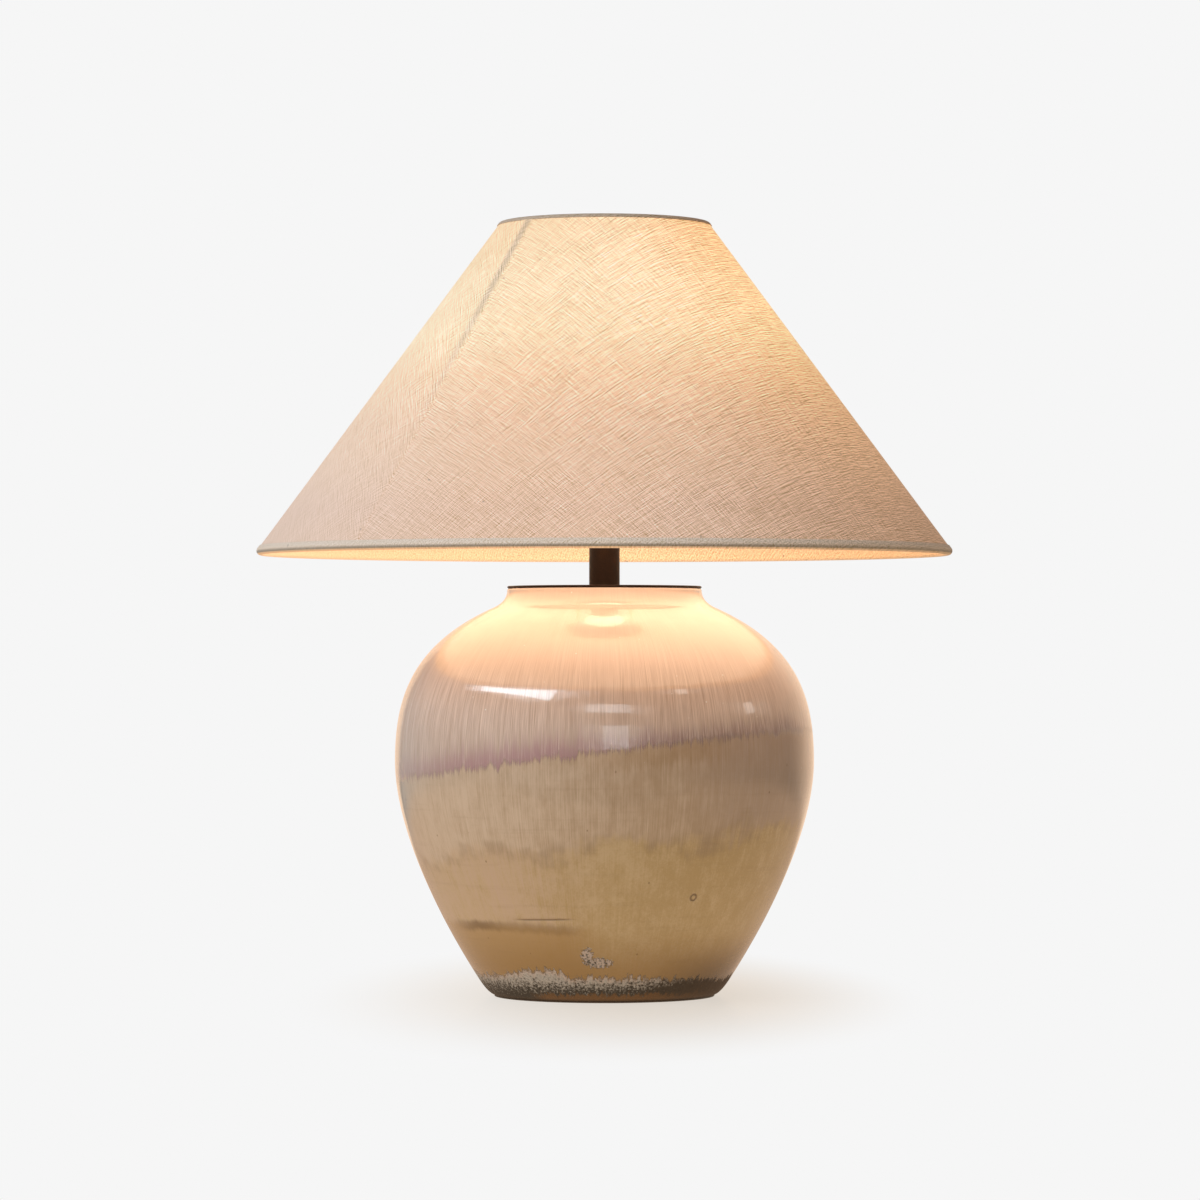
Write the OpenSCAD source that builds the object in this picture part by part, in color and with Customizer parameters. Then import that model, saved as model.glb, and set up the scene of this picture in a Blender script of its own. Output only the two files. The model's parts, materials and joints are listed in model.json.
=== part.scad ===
// Ceramic table lamp with a wide conical fabric shade.
// Sizes are in millimetres. The origin is on the table, under the centre of the vase; +Z is up,
// -Y is the front with the switch knob, and +Y is the back with the cord outlet.

/* [Vase] */
// Height of the ceramic body, from its foot to its lip
vase_h = 291.5; // [270:0.5:315]
// Diameter at the widest place
belly_d = 301.5; // [280:0.5:325]
// Height of the widest place above the foot
belly_h = 167.5; // [150:0.5:185]
// Diameter of the lip
lip_d = 140; // [130:1:150]
// Height of the short neck under the lip
neck_h = 14; // [12:0.5:17]
// How far the shoulder stands out past the lip where it meets the neck
neck_flare = 10; // [8:0.1:12]
// Diameter of the flat foot ring
foot_d = 160; // [145:1:172]
// Width of the foot ring
foot_w = 8; // [6:0.5:12]
// Height of the rounded foot edge
foot_round_h = 10.5; // [8:0.5:13]
// How far the rounded foot edge reaches out
foot_round_w = 10; // [8.5:0.5:14]
// Thickness of the ceramic wall
vase_wall = 6; // [4:0.5:8]
// Thickness of the lip at the mouth
lip_wall = 11; // [8:0.5:14]
// Radius of the lip's outer edge
lip_round = 1.6; // [0.5:0.1:2.5]
// Depth of the recess under the vase
recess_depth = 17; // [15:0.5:22]
// Thickness of the vase's floor
floor_t = 8; // [6:0.5:12]

/* [Foot pad and cord outlet] */
// Thickness of the felt ring under the foot
felt_t = 1.5; // [1:0.1:3]
// How far the felt stays back from the edges of the foot ring
felt_margin = 0.8; // [0.3:0.1:1.5]
// Diameter of the bore that the cord leaves by
cord_bore_d = 6.4; // [5:0.1:7]
// Wall of the rubber bushing round that bore
bushing_wall = 1.4; // [1:0.1:2]
// How far the bushing's flange reaches past its hole
flange_reach = 2; // [1.5:0.1:3]
// Thickness of the bushing's flange
flange_t = 1.6; // [1:0.1:2.5]
// How far the bushing's nose stands out past its flange
bushing_nose = 1; // [0.5:0.1:3]

/* [Pipe and clamping parts] */
// Outer diameter of the threaded pipe
pipe_d = 9.6; // [9:0.1:10.5]
// Bore of the threaded pipe
pipe_bore = 6.4; // [5.5:0.1:7]
// Length of pipe that shows under the lower nut
pipe_tail = 2; // [1:0.5:4]
// Diameter of the lower steel washer
washer_d = 40; // [30:1:50]
// Thickness of the lower steel washer
washer_t = 1.5; // [1:0.1:2.5]
// Diameter of the rubber washer
rubber_d = 46; // [34:1:56]
// Thickness of the rubber washer
rubber_t = 2; // [1:0.1:3]
// Width of the lower nut across its flats
nut_af = 16; // [14:1:19]
// Height of the lower nut
nut_h = 5; // [4:0.5:7]
// Width of the nut on the saddle across its flats
top_nut_af = 14; // [13:1:16]
// Height of the nut on the saddle
top_nut_h = 4; // [3:0.5:5]

/* [Cap and neck tube] */
// Thickness of the cap plate on the vase
cap_t = 1.6; // [1.2:0.1:3]
// Depth of the cap's locating ring in the mouth
cap_ring_h = 7; // [4:0.5:12]
// Thickness of the locating ring
cap_ring_t = 1.2; // [0.8:0.1:2]
// Diameter of the neck tube
tube_d = 22; // [20:0.5:25]
// Length of the neck tube
tube_h = 38; // [32:1:50]
// Wall of the neck tube
tube_wall = 1.5; // [1:0.1:2.5]

/* [Harp] */
// Height of the harp, from the saddle's underside to the top of its pad
harp_h = 203; // [190:1:225]
// Diameter of the harp wire
harp_wire_d = 4; // [3.5:0.1:4.5]
// Distance between the harp's legs at the saddle
harp_foot_w = 57; // [52:1:62]
// Angle at which the harp's sides lean out
harp_lean = 9; // [7:0.5:11]
// Radius of the bend above each leg
harp_low_bend = 60; // [40:1:80]
// Radius of the harp's shoulders
harp_top_bend = 40; // [34:1:44]
// Diameter of the pad at the top
pad_d = 16; // [14:0.5:20]
// Thickness of that pad
pad_t = 4.8; // [4.7:0.1:6]
// Thickness of the saddle strip
saddle_t = 1.6; // [1.2:0.1:2.5]
// Width of the saddle strip
saddle_w = 12; // [10:0.5:16]
// How far the saddle's ends are raised
saddle_rise = 5; // [3:0.5:8]
// Height of the posts on the saddle's ends
post_h = 6; // [4:0.5:8]
// Length of the sleeves that lock the harp to the posts
sleeve_h = 12; // [10:0.5:16]
// Wall of those sleeves
sleeve_wall = 1.4; // [1:0.1:2]
// How far a sleeve slides up to free the harp
sleeve_travel = 12; // [8:0.5:14]

/* [Stud and finial] */
// Diameter of the threaded stud
stud_d = 6.3; // [6:0.1:7]
// Length of the stud above its flange
stud_h = 11.5; // [9:0.5:14]
// Diameter of the shank that turns in the harp's pad
shank_d = 5; // [4:0.1:5.5]
// Diameter of the stud's flange
stud_flange_d = 11; // [9:0.5:13]
// Thickness of the stud's flange
stud_flange_t = 1.5; // [1:0.1:2.5]
// Height of the finial
finial_h = 19; // [17:0.5:24]
// Diameter of the finial's ball
finial_d = 14; // [12:0.5:17]
// Diameter of the finial's base
finial_base_d = 11; // [10:0.5:13]

/* [Socket] */
// Outer diameter of the socket's metal shell
shell_d = 32.4; // [32:0.1:34]
// Height of the metal shell
shell_h = 43; // [40:0.5:48]
// Wall of the metal shell and of the socket's cap
shell_wall = 0.8; // [0.6:0.1:0.9]
// Depth of the shell inside the cap's rim
shell_in_cap = 7; // [4:0.5:9]
// Height of the cap's threaded hub
hub_h = 9; // [7:0.5:11]
// Diameter of that hub
hub_d = 13.5; // [12.5:0.1:15]
// Height of the cap's bowl above its hub
bowl_h = 15; // [12:0.5:18]
// Thickness of the insulating paper tube
paper_t = 0.7; // [0.4:0.1:0.8]
// Height of the moulded switch block
block_h = 18; // [15:0.5:20]
// Width of the switch block across its two flats
block_flat_w = 21; // [18:0.5:24]
// Diameter of the terminal screws' heads
terminal_d = 6.4; // [5:0.1:7]
// Height of the screw shell that takes the bulb
screw_shell_h = 25.5; // [24.5:0.5:26]

/* [Switch knob] */
// Diameter of the knob
knob_d = 10; // [8:0.5:12]
// Length of the knob
knob_len = 14; // [11:0.5:18]
// Number of grooves round the knob
knob_grooves = 14; // [8:1:20]
// Depth of those grooves
knob_groove = 0.5; // [0.3:0.1:0.8]
// Diameter of the knob's shaft
shaft_d = 5; // [4:0.1:6]
// Distance between the shell and the knob
knob_gap = 2; // [1:0.5:4]

/* [Bulb] */
// Diameter of the bulb's globe
bulb_d = 60; // [55:1:64]
// Height of the bulb, from its contact to the top of its globe
bulb_h = 108; // [100:1:115]
// Wall of the glass
glass_t = 0.9; // [0.6:0.1:1.5]
// Outer diameter of the bulb's thread
thread_d = 26; // [25.5:0.1:26.4]
// Distance between two turns of the thread
thread_pitch = 3.6; // [3:0.1:4]
// Number of turns of the thread
thread_turns = 5; // [4:1:6]
// Depth of the thread
thread_depth = 0.9; // [0.5:0.1:1.2]
// Number of light-giving filaments
filaments = 4; // [2:1:6]

/* [Shade] */
// Outer diameter of the fabric at the top edge
shade_top_d = 152; // [140:1:170]
// Outer diameter of the fabric at the bottom edge
shade_bottom_d = 498; // [470:1:520]
// Height of the fabric between its two edges
shade_h = 234; // [215:1:245]
// Thickness of the fabric
fabric_t = 0.6; // [0.4:0.1:1]
// Direction of the fabric's lapped seam, seen from above and counted from the front
seam_angle = -44; // [-180:1:180]
// Width of the lap at that seam
seam_w = 9; // [6:0.5:15]
// Thickness of the stiff liner behind the fabric
liner_t = 0.8; // [0.5:0.1:1.2]
// Diameter of the wire rings
ring_wire_d = 3.2; // [2.8:0.1:4]
// Thickness of the hem tape
hem_t = 0.7; // [0.4:0.1:1]
// Width of the bottom hem outside the shade
bottom_hem_w = 5.5; // [4:0.5:10]
// Width of the top hem outside the shade
top_hem_w = 2.5; // [1.5:0.5:8]
// Width of both hems inside the shade
inner_hem_w = 9; // [7:0.5:14]
// Depth of the spider's washer below the fabric's top edge
spider_drop = 18; // [15:0.5:24]
// Number of spider arms
spider_arms = 3; // [3:1:4]
// Diameter of a spider arm
arm_d = 3; // [2.6:0.1:3.1]
// Radius of the bend in a spider arm
arm_bend = 8; // [6:0.5:10]
// Angle at which a spider arm climbs to its ring
arm_climb = 60; // [45:1:75]
// Diameter of the spider's washer
spider_washer_d = 26; // [22:0.5:32]
// Thickness of the spider's washer
spider_washer_t = 1.5; // [1:0.1:2.2]

/* [Hidden] */
$fn = 96;

// Clearances between pieces that go together
run_fit = 0.05;      // a part that turns or slides on another, on the radius
slip_fit = 0.1;      // a hole over a threaded part, on the radius
loose_fit = 0.6;     // a locating ring in a ceramic mouth, on the radius
seat_gap = 0.3;      // between a free end and what it comes up to
bend_step = 0.03;    // how much thinner a straight wire is than the bend it runs into, on the radius
bend_reach = 0.5;    // how far a straight wire runs into a bend
curve_steps = 26;    // straight steps in each long curve of the vase
short_steps = 7;     // straight steps in each short curve

// Shape of the vase's outline: how far each curve follows its end directions
foot_slope = 71;     // angle from upright at which the foot edge starts
taper = 33;          // angle from upright of the lower body
shoulder_slope = 66; // angle from upright where the shoulder meets the neck
low_pull = 0.28;     // share of the lower body's height
low_belly = 0.335;   // share of the lower body's height
high_belly = 0.38;   // share of the shoulder's height
high_pull = 0.95;    // share of the shoulder's width
neck_tuck = 0.2;     // how far the neck curves in beyond the lip

// Heights of the stack, from the table up
foot_z = felt_t;
recess_z = foot_z + recess_depth;
floor_z = recess_z + floor_t;
belly_z = foot_z + belly_h;
lip_z = foot_z + vase_h;
neck_z = lip_z - neck_h;
cap_z = lip_z + cap_t;
saddle_z = cap_z + tube_h;
saddle_top_z = saddle_z + saddle_t;
socket_z = saddle_top_z + top_nut_h;
hub_top_z = socket_z + hub_h;
cap_rim_z = hub_top_z + bowl_h;
shell_z = cap_rim_z - shell_in_cap;
shell_top_z = shell_z + shell_h;
block_z = shell_z - 1.5;
block_top_z = block_z + block_h;
knob_z = block_top_z - 5;
pad_z = saddle_z + harp_h;
washer_seat_z = pad_z + stud_flange_t;
shade_top_z = washer_seat_z + spider_drop;

// Radii that several pieces share
lip_r = lip_d / 2;
foot_r = foot_d / 2;
recess_r = foot_r - foot_w;
mouth_r = lip_r - lip_wall;
pipe_r = pipe_d / 2;
pipe_hole_r = pipe_r + slip_fit;
wire_r = harp_wire_d / 2;
shell_r = shell_d / 2;
paper_r = shell_r - shell_wall - slip_fit;
block_r = paper_r - paper_t - slip_fit;
shaft_r = shaft_d / 2;
thread_r = thread_d / 2;
ring_wire_r = ring_wire_d / 2;
arm_r = arm_d / 2;
lower_nut_z = recess_z - rubber_t - washer_t - nut_h;
pipe_z = lower_nut_z - pipe_tail;

// Points along curves, as [radius, height]
function quad(a, b, c, t) = (1 - t) * (1 - t) * a + 2 * (1 - t) * t * b + t * t * c;
function cubic(a, b, c, d, t) =
    pow(1 - t, 3) * a + 3 * pow(1 - t, 2) * t * b + 3 * (1 - t) * t * t * c + pow(t, 3) * d;
function lean(angle) = [sin(angle), cos(angle)];
function side_of(a, b) = let (d = (b - a) / norm(b - a)) [d[1], -d[0]];

// Ends and control points of the vase's four outer curves
foot_edge = [foot_r, foot_z];
taper_start = [foot_r + foot_round_w, foot_z + foot_round_h];
belly = [belly_d / 2, belly_z];
neck_start = [lip_r + neck_flare, neck_z];
lip_edge = [lip_r, lip_z - lip_round];
lower_h = belly_z - taper_start[1];
upper_h = neck_z - belly_z;
upper_w = belly[0] - neck_start[0];
foot_reach = (foot_round_w - foot_round_h * tan(taper))
    / (sin(foot_slope) - cos(foot_slope) * tan(taper));
foot_pull = foot_edge + foot_reach * lean(foot_slope);
neck_pull = [lip_r + neck_tuck, neck_z + (neck_flare - neck_tuck) / tan(shoulder_slope)];

function lower_body(t) = cubic(taper_start, taper_start + low_pull * lower_h * lean(taper),
    belly - [0, low_belly * lower_h], belly, t);
function upper_body(t) = cubic(belly, belly + [0, high_belly * upper_h],
    neck_start - high_pull * upper_w * lean(-shoulder_slope), neck_start, t);
function foot_curve() = [for (i = [0:short_steps - 1])
    quad(foot_edge, foot_pull, taper_start, i / short_steps)];
function body_curve() = concat(
    [for (i = [0:curve_steps - 1]) lower_body(i / curve_steps)],
    [for (i = [0:curve_steps]) upper_body(i / curve_steps)]);
function neck_curve() = [for (i = [1:short_steps])
    quad(neck_start, neck_pull, lip_edge, i / short_steps)];
function lip_curve() = [for (i = [1:short_steps])
    let (a = 90 * i / short_steps) lip_edge + lip_round * [cos(a) - 1, sin(a)]];
// A line moved sideways by a distance, outwards when it is positive
function beside(line, distance) = [for (i = [0:len(line) - 1])
    line[i] + distance * side_of(line[max(i - 1, 0)], line[min(i + 1, len(line) - 1)])];

cord_z = foot_z + recess_depth / 2 + 0.5;
bushing_r = cord_bore_d / 2 + bushing_wall;
cord_hole_r = bushing_r + slip_fit;
bushing_in = recess_r - 2;
// The bushing's nose ends flat, past the wall at the top of its hole
bushing_out = taper_start[0] + (cord_z + bushing_r - taper_start[1]) * tan(taper) + flange_t + bushing_nose;

module vase() {
    body = body_curve();
    inner = [for (p = beside(body, -vase_wall)) if (p[1] > floor_z + 2) p];
    low = inner[0];
    outline = concat(
        [[recess_r, foot_z]], foot_curve(), body, neck_curve(), lip_curve(),
        [[mouth_r, lip_z], [mouth_r, inner[len(inner) - 1][1]]],
        [for (i = [len(inner) - 1:-1:0]) inner[i]],
        [[low[0] - 2.5, floor_z], [pipe_hole_r + 1, floor_z], [pipe_hole_r + 1, recess_z],
         [recess_r, recess_z]]);
    color("tan") difference() {
        rotate_extrude() polygon(outline);
        translate([0, 0, cord_z]) rotate([-90, 0, 0]) translate([0, 0, recess_r - 10])
            cylinder(r = cord_hole_r, h = foot_round_w + foot_w + 30);
    }
}

module foot_felt() {
    color("saddlebrown") rotate_extrude()
        translate([recess_r + felt_margin, 0]) square([foot_w - 2 * felt_margin, felt_t]);
}

// The space within a distance of the vase's lower wall
module lower_wall(distance) {
    line = beside(concat(foot_curve(), body_curve()), distance);
    rotate_extrude() polygon(concat([[0, line[0][1]]], [for (p = line) if (p[1] < belly_z) p],
        [[0, belly_z]]));
}

module cord_bushing() {
    color("dimgray") difference() {
        union() {
            translate([0, bushing_in, cord_z]) rotate([-90, 0, 0])
                cylinder(r = bushing_r, h = bushing_out - bushing_in);
            difference() {
                intersection() {
                    translate([0, bushing_in, cord_z]) rotate([-90, 0, 0])
                        cylinder(r = cord_hole_r + flange_reach, h = bushing_out - bushing_in);
                    lower_wall(flange_t);
                }
                lower_wall(run_fit);
            }
        }
        translate([0, bushing_in - 1, cord_z]) rotate([-90, 0, 0])
            cylinder(r = cord_bore_d / 2, h = bushing_out - bushing_in + 2);
    }
}

module flat_ring(outer_r, inner_r, h) {
    difference() {
        cylinder(r = outer_r, h = h);
        translate([0, 0, -1]) cylinder(r = inner_r, h = h + 2);
    }
}

module rubber_washer() {
    color("black") translate([0, 0, recess_z - rubber_t]) flat_ring(rubber_d / 2, pipe_hole_r, rubber_t);
}

module steel_washer() {
    color("silver") translate([0, 0, recess_z - rubber_t - washer_t])
        flat_ring(washer_d / 2, pipe_hole_r, washer_t);
}

// A six-sided nut with its top and bottom corners turned off
module hex_nut(across, h) {
    corner = across / sqrt(3);
    difference() {
        intersection() {
            cylinder(r = corner, h = h, $fn = 6);
            rotate_extrude() polygon([[0, 0], [across / 2, 0], [corner, (corner - across / 2) / 2],
                [corner, h - (corner - across / 2) / 2], [across / 2, h], [0, h]]);
        }
        translate([0, 0, -1]) cylinder(r = pipe_hole_r, h = h + 2);
    }
}

module lower_nut() {
    color("silver") translate([0, 0, lower_nut_z]) hex_nut(nut_af, nut_h);
}

module threaded_pipe() {
    color("goldenrod") translate([0, 0, pipe_z]) flat_ring(pipe_r, pipe_bore / 2, hub_top_z - pipe_z);
}

// A flat plate over the lip, with a ring below it that centres it in the mouth
module vase_cap() {
    ring_r = mouth_r - loose_fit;
    edge = cap_t / 2;
    color("black") rotate_extrude() polygon(concat(
        [[pipe_hole_r, lip_z], [ring_r - cap_ring_t, lip_z], [ring_r - cap_ring_t, lip_z - cap_ring_h],
         [ring_r, lip_z - cap_ring_h], [ring_r, lip_z]],
        [for (i = [0:short_steps]) let (a = -90 + 180 * i / short_steps)
            [lip_r - edge + edge * cos(a), lip_z + edge + edge * sin(a)]],
        [[pipe_hole_r, cap_z]]));
}

// A tube that is closed at both ends but for the pipe's holes
module neck_tube() {
    r = tube_d / 2;
    color([0.2, 0.13, 0.07]) translate([0, 0, cap_z]) rotate_extrude() difference() {
        translate([pipe_hole_r, 0]) square([r - pipe_hole_r, tube_h]);
        translate([0, tube_wall]) square([r - tube_wall, tube_h - 2 * tube_wall]);
    }
}

// A strip with raised ends, and a post on each end that a harp leg stands on
module harp_saddle() {
    end_x = harp_foot_w / 2;
    half = [[0, 0], [top_nut_af / 2 + 4, 0], [end_x - wire_r - 3, saddle_rise],
        [end_x + wire_r + 1, saddle_rise]];
    outline = concat(half, [for (i = [3:-1:0]) half[i] + [0, saddle_t]]);
    color("goldenrod") translate([0, 0, saddle_z]) difference() {
        union() {
            for (side = [0, 1]) mirror([side, 0, 0]) {
                rotate([90, 0, 0]) linear_extrude(saddle_w, center = true) polygon(outline);
                translate([end_x, 0, saddle_rise]) cylinder(r = wire_r, h = saddle_t + post_h);
            }
            cylinder(r = top_nut_af / 2 + 4, h = saddle_t);
        }
        translate([0, 0, -1]) cylinder(r = pipe_hole_r, h = saddle_t + 2);
    }
}

module saddle_nut() {
    color("goldenrod") translate([0, 0, saddle_top_z]) hex_nut(top_nut_af, top_nut_h);
}

// Places along the harp's right side, in the plane of the harp
leg_x = harp_foot_w / 2;
post_top_z = saddle_top_z + saddle_rise + post_h;
leg_z = post_top_z + seat_gap;
sleeve_z = saddle_top_z + saddle_rise;
leg_top_z = sleeve_z + sleeve_h + sleeve_travel + 2;
bow_z = pad_z - pad_t / 2;
side_rise = bow_z - leg_top_z - harp_top_bend - (harp_low_bend + harp_top_bend) * sin(harp_lean);
side_len = side_rise / cos(harp_lean);
side_start = [leg_x + harp_low_bend * (1 - cos(harp_lean)), leg_top_z + harp_low_bend * sin(harp_lean)];
side_end = side_start + side_len * lean(harp_lean);
shoulder = side_end + harp_top_bend * [-cos(harp_lean), sin(harp_lean)];

// A straight stretch of wire along +Z that runs into the bends at its ends
module straight(radius, length, before, after) {
    translate([0, 0, -before * bend_reach])
        cylinder(r = radius - bend_step, h = length + (before + after) * bend_reach, $fn = 32);
}

// A bend of wire in the X-Z plane, from one angle to another about the origin
module bend(radius, wire, from, to) {
    rotate([90, 0, 0]) rotate([0, 0, from])
        rotate_extrude(angle = to - from) translate([radius, 0]) circle(r = wire, $fn = 32);
}

module harp_bow() {
    color("goldenrod") difference() {
        union() {
            for (side = [0, 1]) mirror([side, 0, 0]) {
                translate([leg_x, 0, leg_z]) straight(wire_r, leg_top_z - leg_z, 0, 1);
                translate([leg_x + harp_low_bend, 0, leg_top_z])
                    bend(harp_low_bend, wire_r, 180 - harp_lean, 180);
                translate([side_start[0], 0, side_start[1]]) rotate([0, harp_lean, 0])
                    straight(wire_r, side_len, 1, 1);
                translate([shoulder[0], 0, shoulder[1]]) bend(harp_top_bend, wire_r, -harp_lean, 90);
            }
            translate([-shoulder[0], 0, bow_z]) rotate([0, 90, 0]) straight(wire_r, 2 * shoulder[0], 1, 1);
            translate([0, 0, pad_z - pad_t]) cylinder(r = pad_d / 2, h = pad_t);
        }
        translate([0, 0, pad_z - pad_t - 1]) cylinder(r = shank_d / 2 + run_fit, h = pad_t + 2);
    }
}

// A sleeve over the joint between a post and a harp leg
module harp_sleeve(side) {
    inner = wire_r + run_fit;
    outer = inner + sleeve_wall;
    color("goldenrod") translate([side * leg_x, 0, sleeve_z]) rotate_extrude()
        polygon([[inner, 0], [outer, 0], [outer, sleeve_h - 2.5], [outer + 0.6, sleeve_h - 2],
            [outer + 0.6, sleeve_h], [inner, sleeve_h]]);
}

module harp_sleeve_left() { harp_sleeve(-1); }
module harp_sleeve_right() { harp_sleeve(1); }

// The threaded stud, riveted so that it turns in the harp's pad
module harp_stud() {
    head_r = shank_d / 2 + 1.5;
    low = pad_z - pad_t - seat_gap;
    color("goldenrod") {
        translate([0, 0, low - 1.4]) cylinder(r1 = head_r - 0.8, r2 = head_r, h = 1.4);
        translate([0, 0, low]) cylinder(r = shank_d / 2, h = pad_z - low);
        translate([0, 0, pad_z]) cylinder(r = stud_flange_d / 2, h = stud_flange_t);
        translate([0, 0, washer_seat_z]) cylinder(r = stud_d / 2, h = stud_h);
    }
}

// A turned knob with a blind threaded hole
module finial() {
    ball_r = finial_d / 2;
    base_r = finial_base_d / 2;
    ball_z = finial_h - ball_r;
    color("goldenrod") translate([0, 0, washer_seat_z + spider_washer_t]) difference() {
        rotate_extrude() polygon(concat(
            [[0, 0], [base_r, 0], [base_r, 1.6], [base_r - 0.8, 2.4], [base_r - 1, 3.4]],
            [for (a = [-40:13:90]) [ball_r * cos(a), ball_z + ball_r * sin(a)]]));
        translate([0, 0, -1]) cylinder(r = stud_d / 2 + run_fit, h = stud_h - spider_washer_t + 2);
    }
}

// The socket's lower half: a threaded hub that opens into a bowl
module socket_cap() {
    rim_in = shell_r + slip_fit;
    rim_out = rim_in + shell_wall;
    hub_r = hub_d / 2;
    mid = [hub_r + (rim_out - hub_r) * 0.75, hub_top_z + bowl_h * 0.12];
    full = [rim_out, hub_top_z + bowl_h * 0.5];
    flare = [for (i = [0:short_steps]) quad([hub_r, hub_top_z], mid, full, i / short_steps)];
    inside = beside(flare, -shell_wall);
    color("black") rotate_extrude() polygon(concat(
        [[pipe_hole_r, socket_z], [hub_r, socket_z]], flare, [[rim_out, cap_rim_z], [rim_in, cap_rim_z]],
        [for (i = [short_steps:-1:1]) inside[i]], [[pipe_hole_r, hub_top_z + shell_wall / 2]]));
}

// The notch in the front of the shell and the paper, for the switch's shaft
module shaft_notch() {
    translate([-shaft_r - 1, -shell_r - 1, shell_z - 1]) cube([shaft_d + 2, shell_r, knob_z - shell_z + 1]);
    translate([0, -1, knob_z]) rotate([90, 0, 0]) cylinder(r = shaft_r + 1, h = shell_r);
}

module socket_shell() {
    bead_z = shell_top_z - 6;
    inner = shell_r - shell_wall;
    color("black") difference() {
        rotate_extrude() polygon([[inner, shell_z], [shell_r, shell_z], [shell_r, bead_z],
            [shell_r + 0.6, bead_z + 1], [shell_r, bead_z + 2], [shell_r, shell_top_z - 1],
            [shell_r - 0.6, shell_top_z], [inner - shell_wall, shell_top_z],
            [inner - shell_wall, shell_top_z - shell_wall], [inner, shell_top_z - shell_wall]]);
        shaft_notch();
    }
}

module socket_paper() {
    color("burlywood") difference() {
        translate([0, 0, shell_z]) flat_ring(paper_r, paper_r - paper_t, shell_h - shell_wall - seat_gap);
        shaft_notch();
    }
}

// The moulded block with the switch inside, flat on both sides for the terminals
module switch_block() {
    color("saddlebrown") difference() {
        translate([0, 0, block_z]) intersection() {
            cylinder(r = block_r, h = block_h);
            translate([-block_flat_w / 2, -block_r, 0]) cube([block_flat_w, 2 * block_r, block_h]);
        }
        translate([0, 0, knob_z]) rotate([90, 0, 0]) translate([0, 0, block_r - 8])
            cylinder(r = shaft_r + run_fit, h = 9);
    }
}

module terminal_screws() {
    color("gold") for (side = [-1, 1])
        translate([side * block_flat_w / 2, 0, block_z + block_h * 0.4]) rotate([0, side * 90, 0])
            difference() {
                cylinder(r1 = terminal_d / 2, r2 = terminal_d / 2 - 0.5, h = 2);
                translate([-terminal_d, -0.4, 1.2]) cube([2 * terminal_d, 0.8, 2]);
            }
}

// Rings that stand for the turns of the lamp thread, as [radius, height]
thread_z = block_top_z + 6.5;
thread_h = thread_pitch * thread_turns;
function thread_line(radius) = [for (i = [0:8 * thread_turns])
    [radius - thread_depth * (1 - cos(45 * i)) / 2, thread_z + thread_pitch * i / 8]];

module socket_screw_shell() {
    wall = 0.4;
    gap = 0.25;
    line = thread_line(thread_r + gap);
    last = line[len(line) - 1];
    color("silver") rotate_extrude() polygon(concat(
        [[line[0][0], block_top_z]], line, [[last[0], block_top_z + screw_shell_h]],
        [[last[0] + wall, block_top_z + screw_shell_h]],
        [for (i = [len(line) - 1:-1:0]) line[i] + [wall, 0]], [[line[0][0] + wall, block_top_z]]));
}

// A bent brass strip under the bulb's contact
module socket_contact() {
    color("gold") translate([0, 3, block_top_z]) rotate([90, 0, 0]) linear_extrude(6)
        polygon([[-9, 0], [-3, 0], [4, 1.9], [7, 1.9], [7, 2.4], [3.8, 2.4], [-3.2, 0.5], [-9, 0.5]]);
}

// A grooved knob on a shaft that turns in the switch block
module switch_knob() {
    r = knob_d / 2;
    shaft_in = block_r - 7;
    knob_y = shell_r + knob_gap;
    color("black") translate([0, 0, knob_z]) rotate([90, 0, 0]) {
        translate([0, 0, shaft_in]) cylinder(r = shaft_r, h = knob_y - shaft_in + 1);
        translate([0, 0, knob_y]) difference() {
            rotate_extrude() polygon([[0, 0], [r - 1, 0], [r, 1], [r, knob_len - 1.2],
                [r - 1.2, knob_len], [0, knob_len]]);
            for (i = [0:knob_grooves - 1]) rotate([0, 0, 360 * (i + 0.5) / knob_grooves])
                translate([r - knob_groove, -knob_groove, 2]) cube([2, 2 * knob_groove, knob_len - 4]);
        }
    }
}

// Heights and curves of the bulb
bulb_z = block_top_z + 2.4 + seat_gap;
globe_z = bulb_z + bulb_h - bulb_d / 2;
collar_z = thread_z + thread_h + 1.5;
glass_z = collar_z - 1;
glass_neck_r = thread_r - 1.2;

// The outline of the glass, moved in by a distance; the globe is a circle and the neck a curve
function glass_line(inset) = let (r = bulb_d / 2 - inset, join = -28, neck = glass_neck_r - inset,
        start = [neck, glass_z + 3], end = [r * cos(join), globe_z + r * sin(join)])
    concat([[neck, glass_z]],
        [for (i = [0:12]) cubic(start, start + [0, 18], end + 14 * [sin(join), -cos(join)], end, i / 12)],
        [for (a = [join + 8:8:84]) [r * cos(a), globe_z + r * sin(a)]],
        [[0, globe_z + r]]);

module bulb_glass() {
    outer = glass_line(0);
    inner = glass_line(glass_t);
    color("ivory") rotate_extrude()
        polygon(concat(outer, [for (i = [len(inner) - 1:-1:0]) inner[i]]));
}

// The thin metal base with its rolled thread and collar
module bulb_base() {
    wall = 0.4;
    line = thread_line(thread_r);
    low = [line[0][0] - 0.5, thread_z - 2];
    color("silver") rotate_extrude() polygon(concat(
        [low], line, [[thread_r + 0.2, collar_z - 1], [thread_r + 0.2, collar_z], [glass_neck_r, collar_z],
         [glass_neck_r, glass_z], [glass_neck_r - thread_depth + wall, glass_z - 1]],
        [for (i = [len(line) - 1:-1:0]) line[i] - [wall, 0]], [low - [wall, 0]]));
}

module bulb_insulator() {
    r = thread_r - 1;
    color("black") rotate_extrude() polygon([[4.5, bulb_z + 0.8], [5.5, bulb_z + 0.8],
        [r - 0.4, thread_z - 2], [r - 1.4, thread_z], [4.5, thread_z]]);
}

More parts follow.
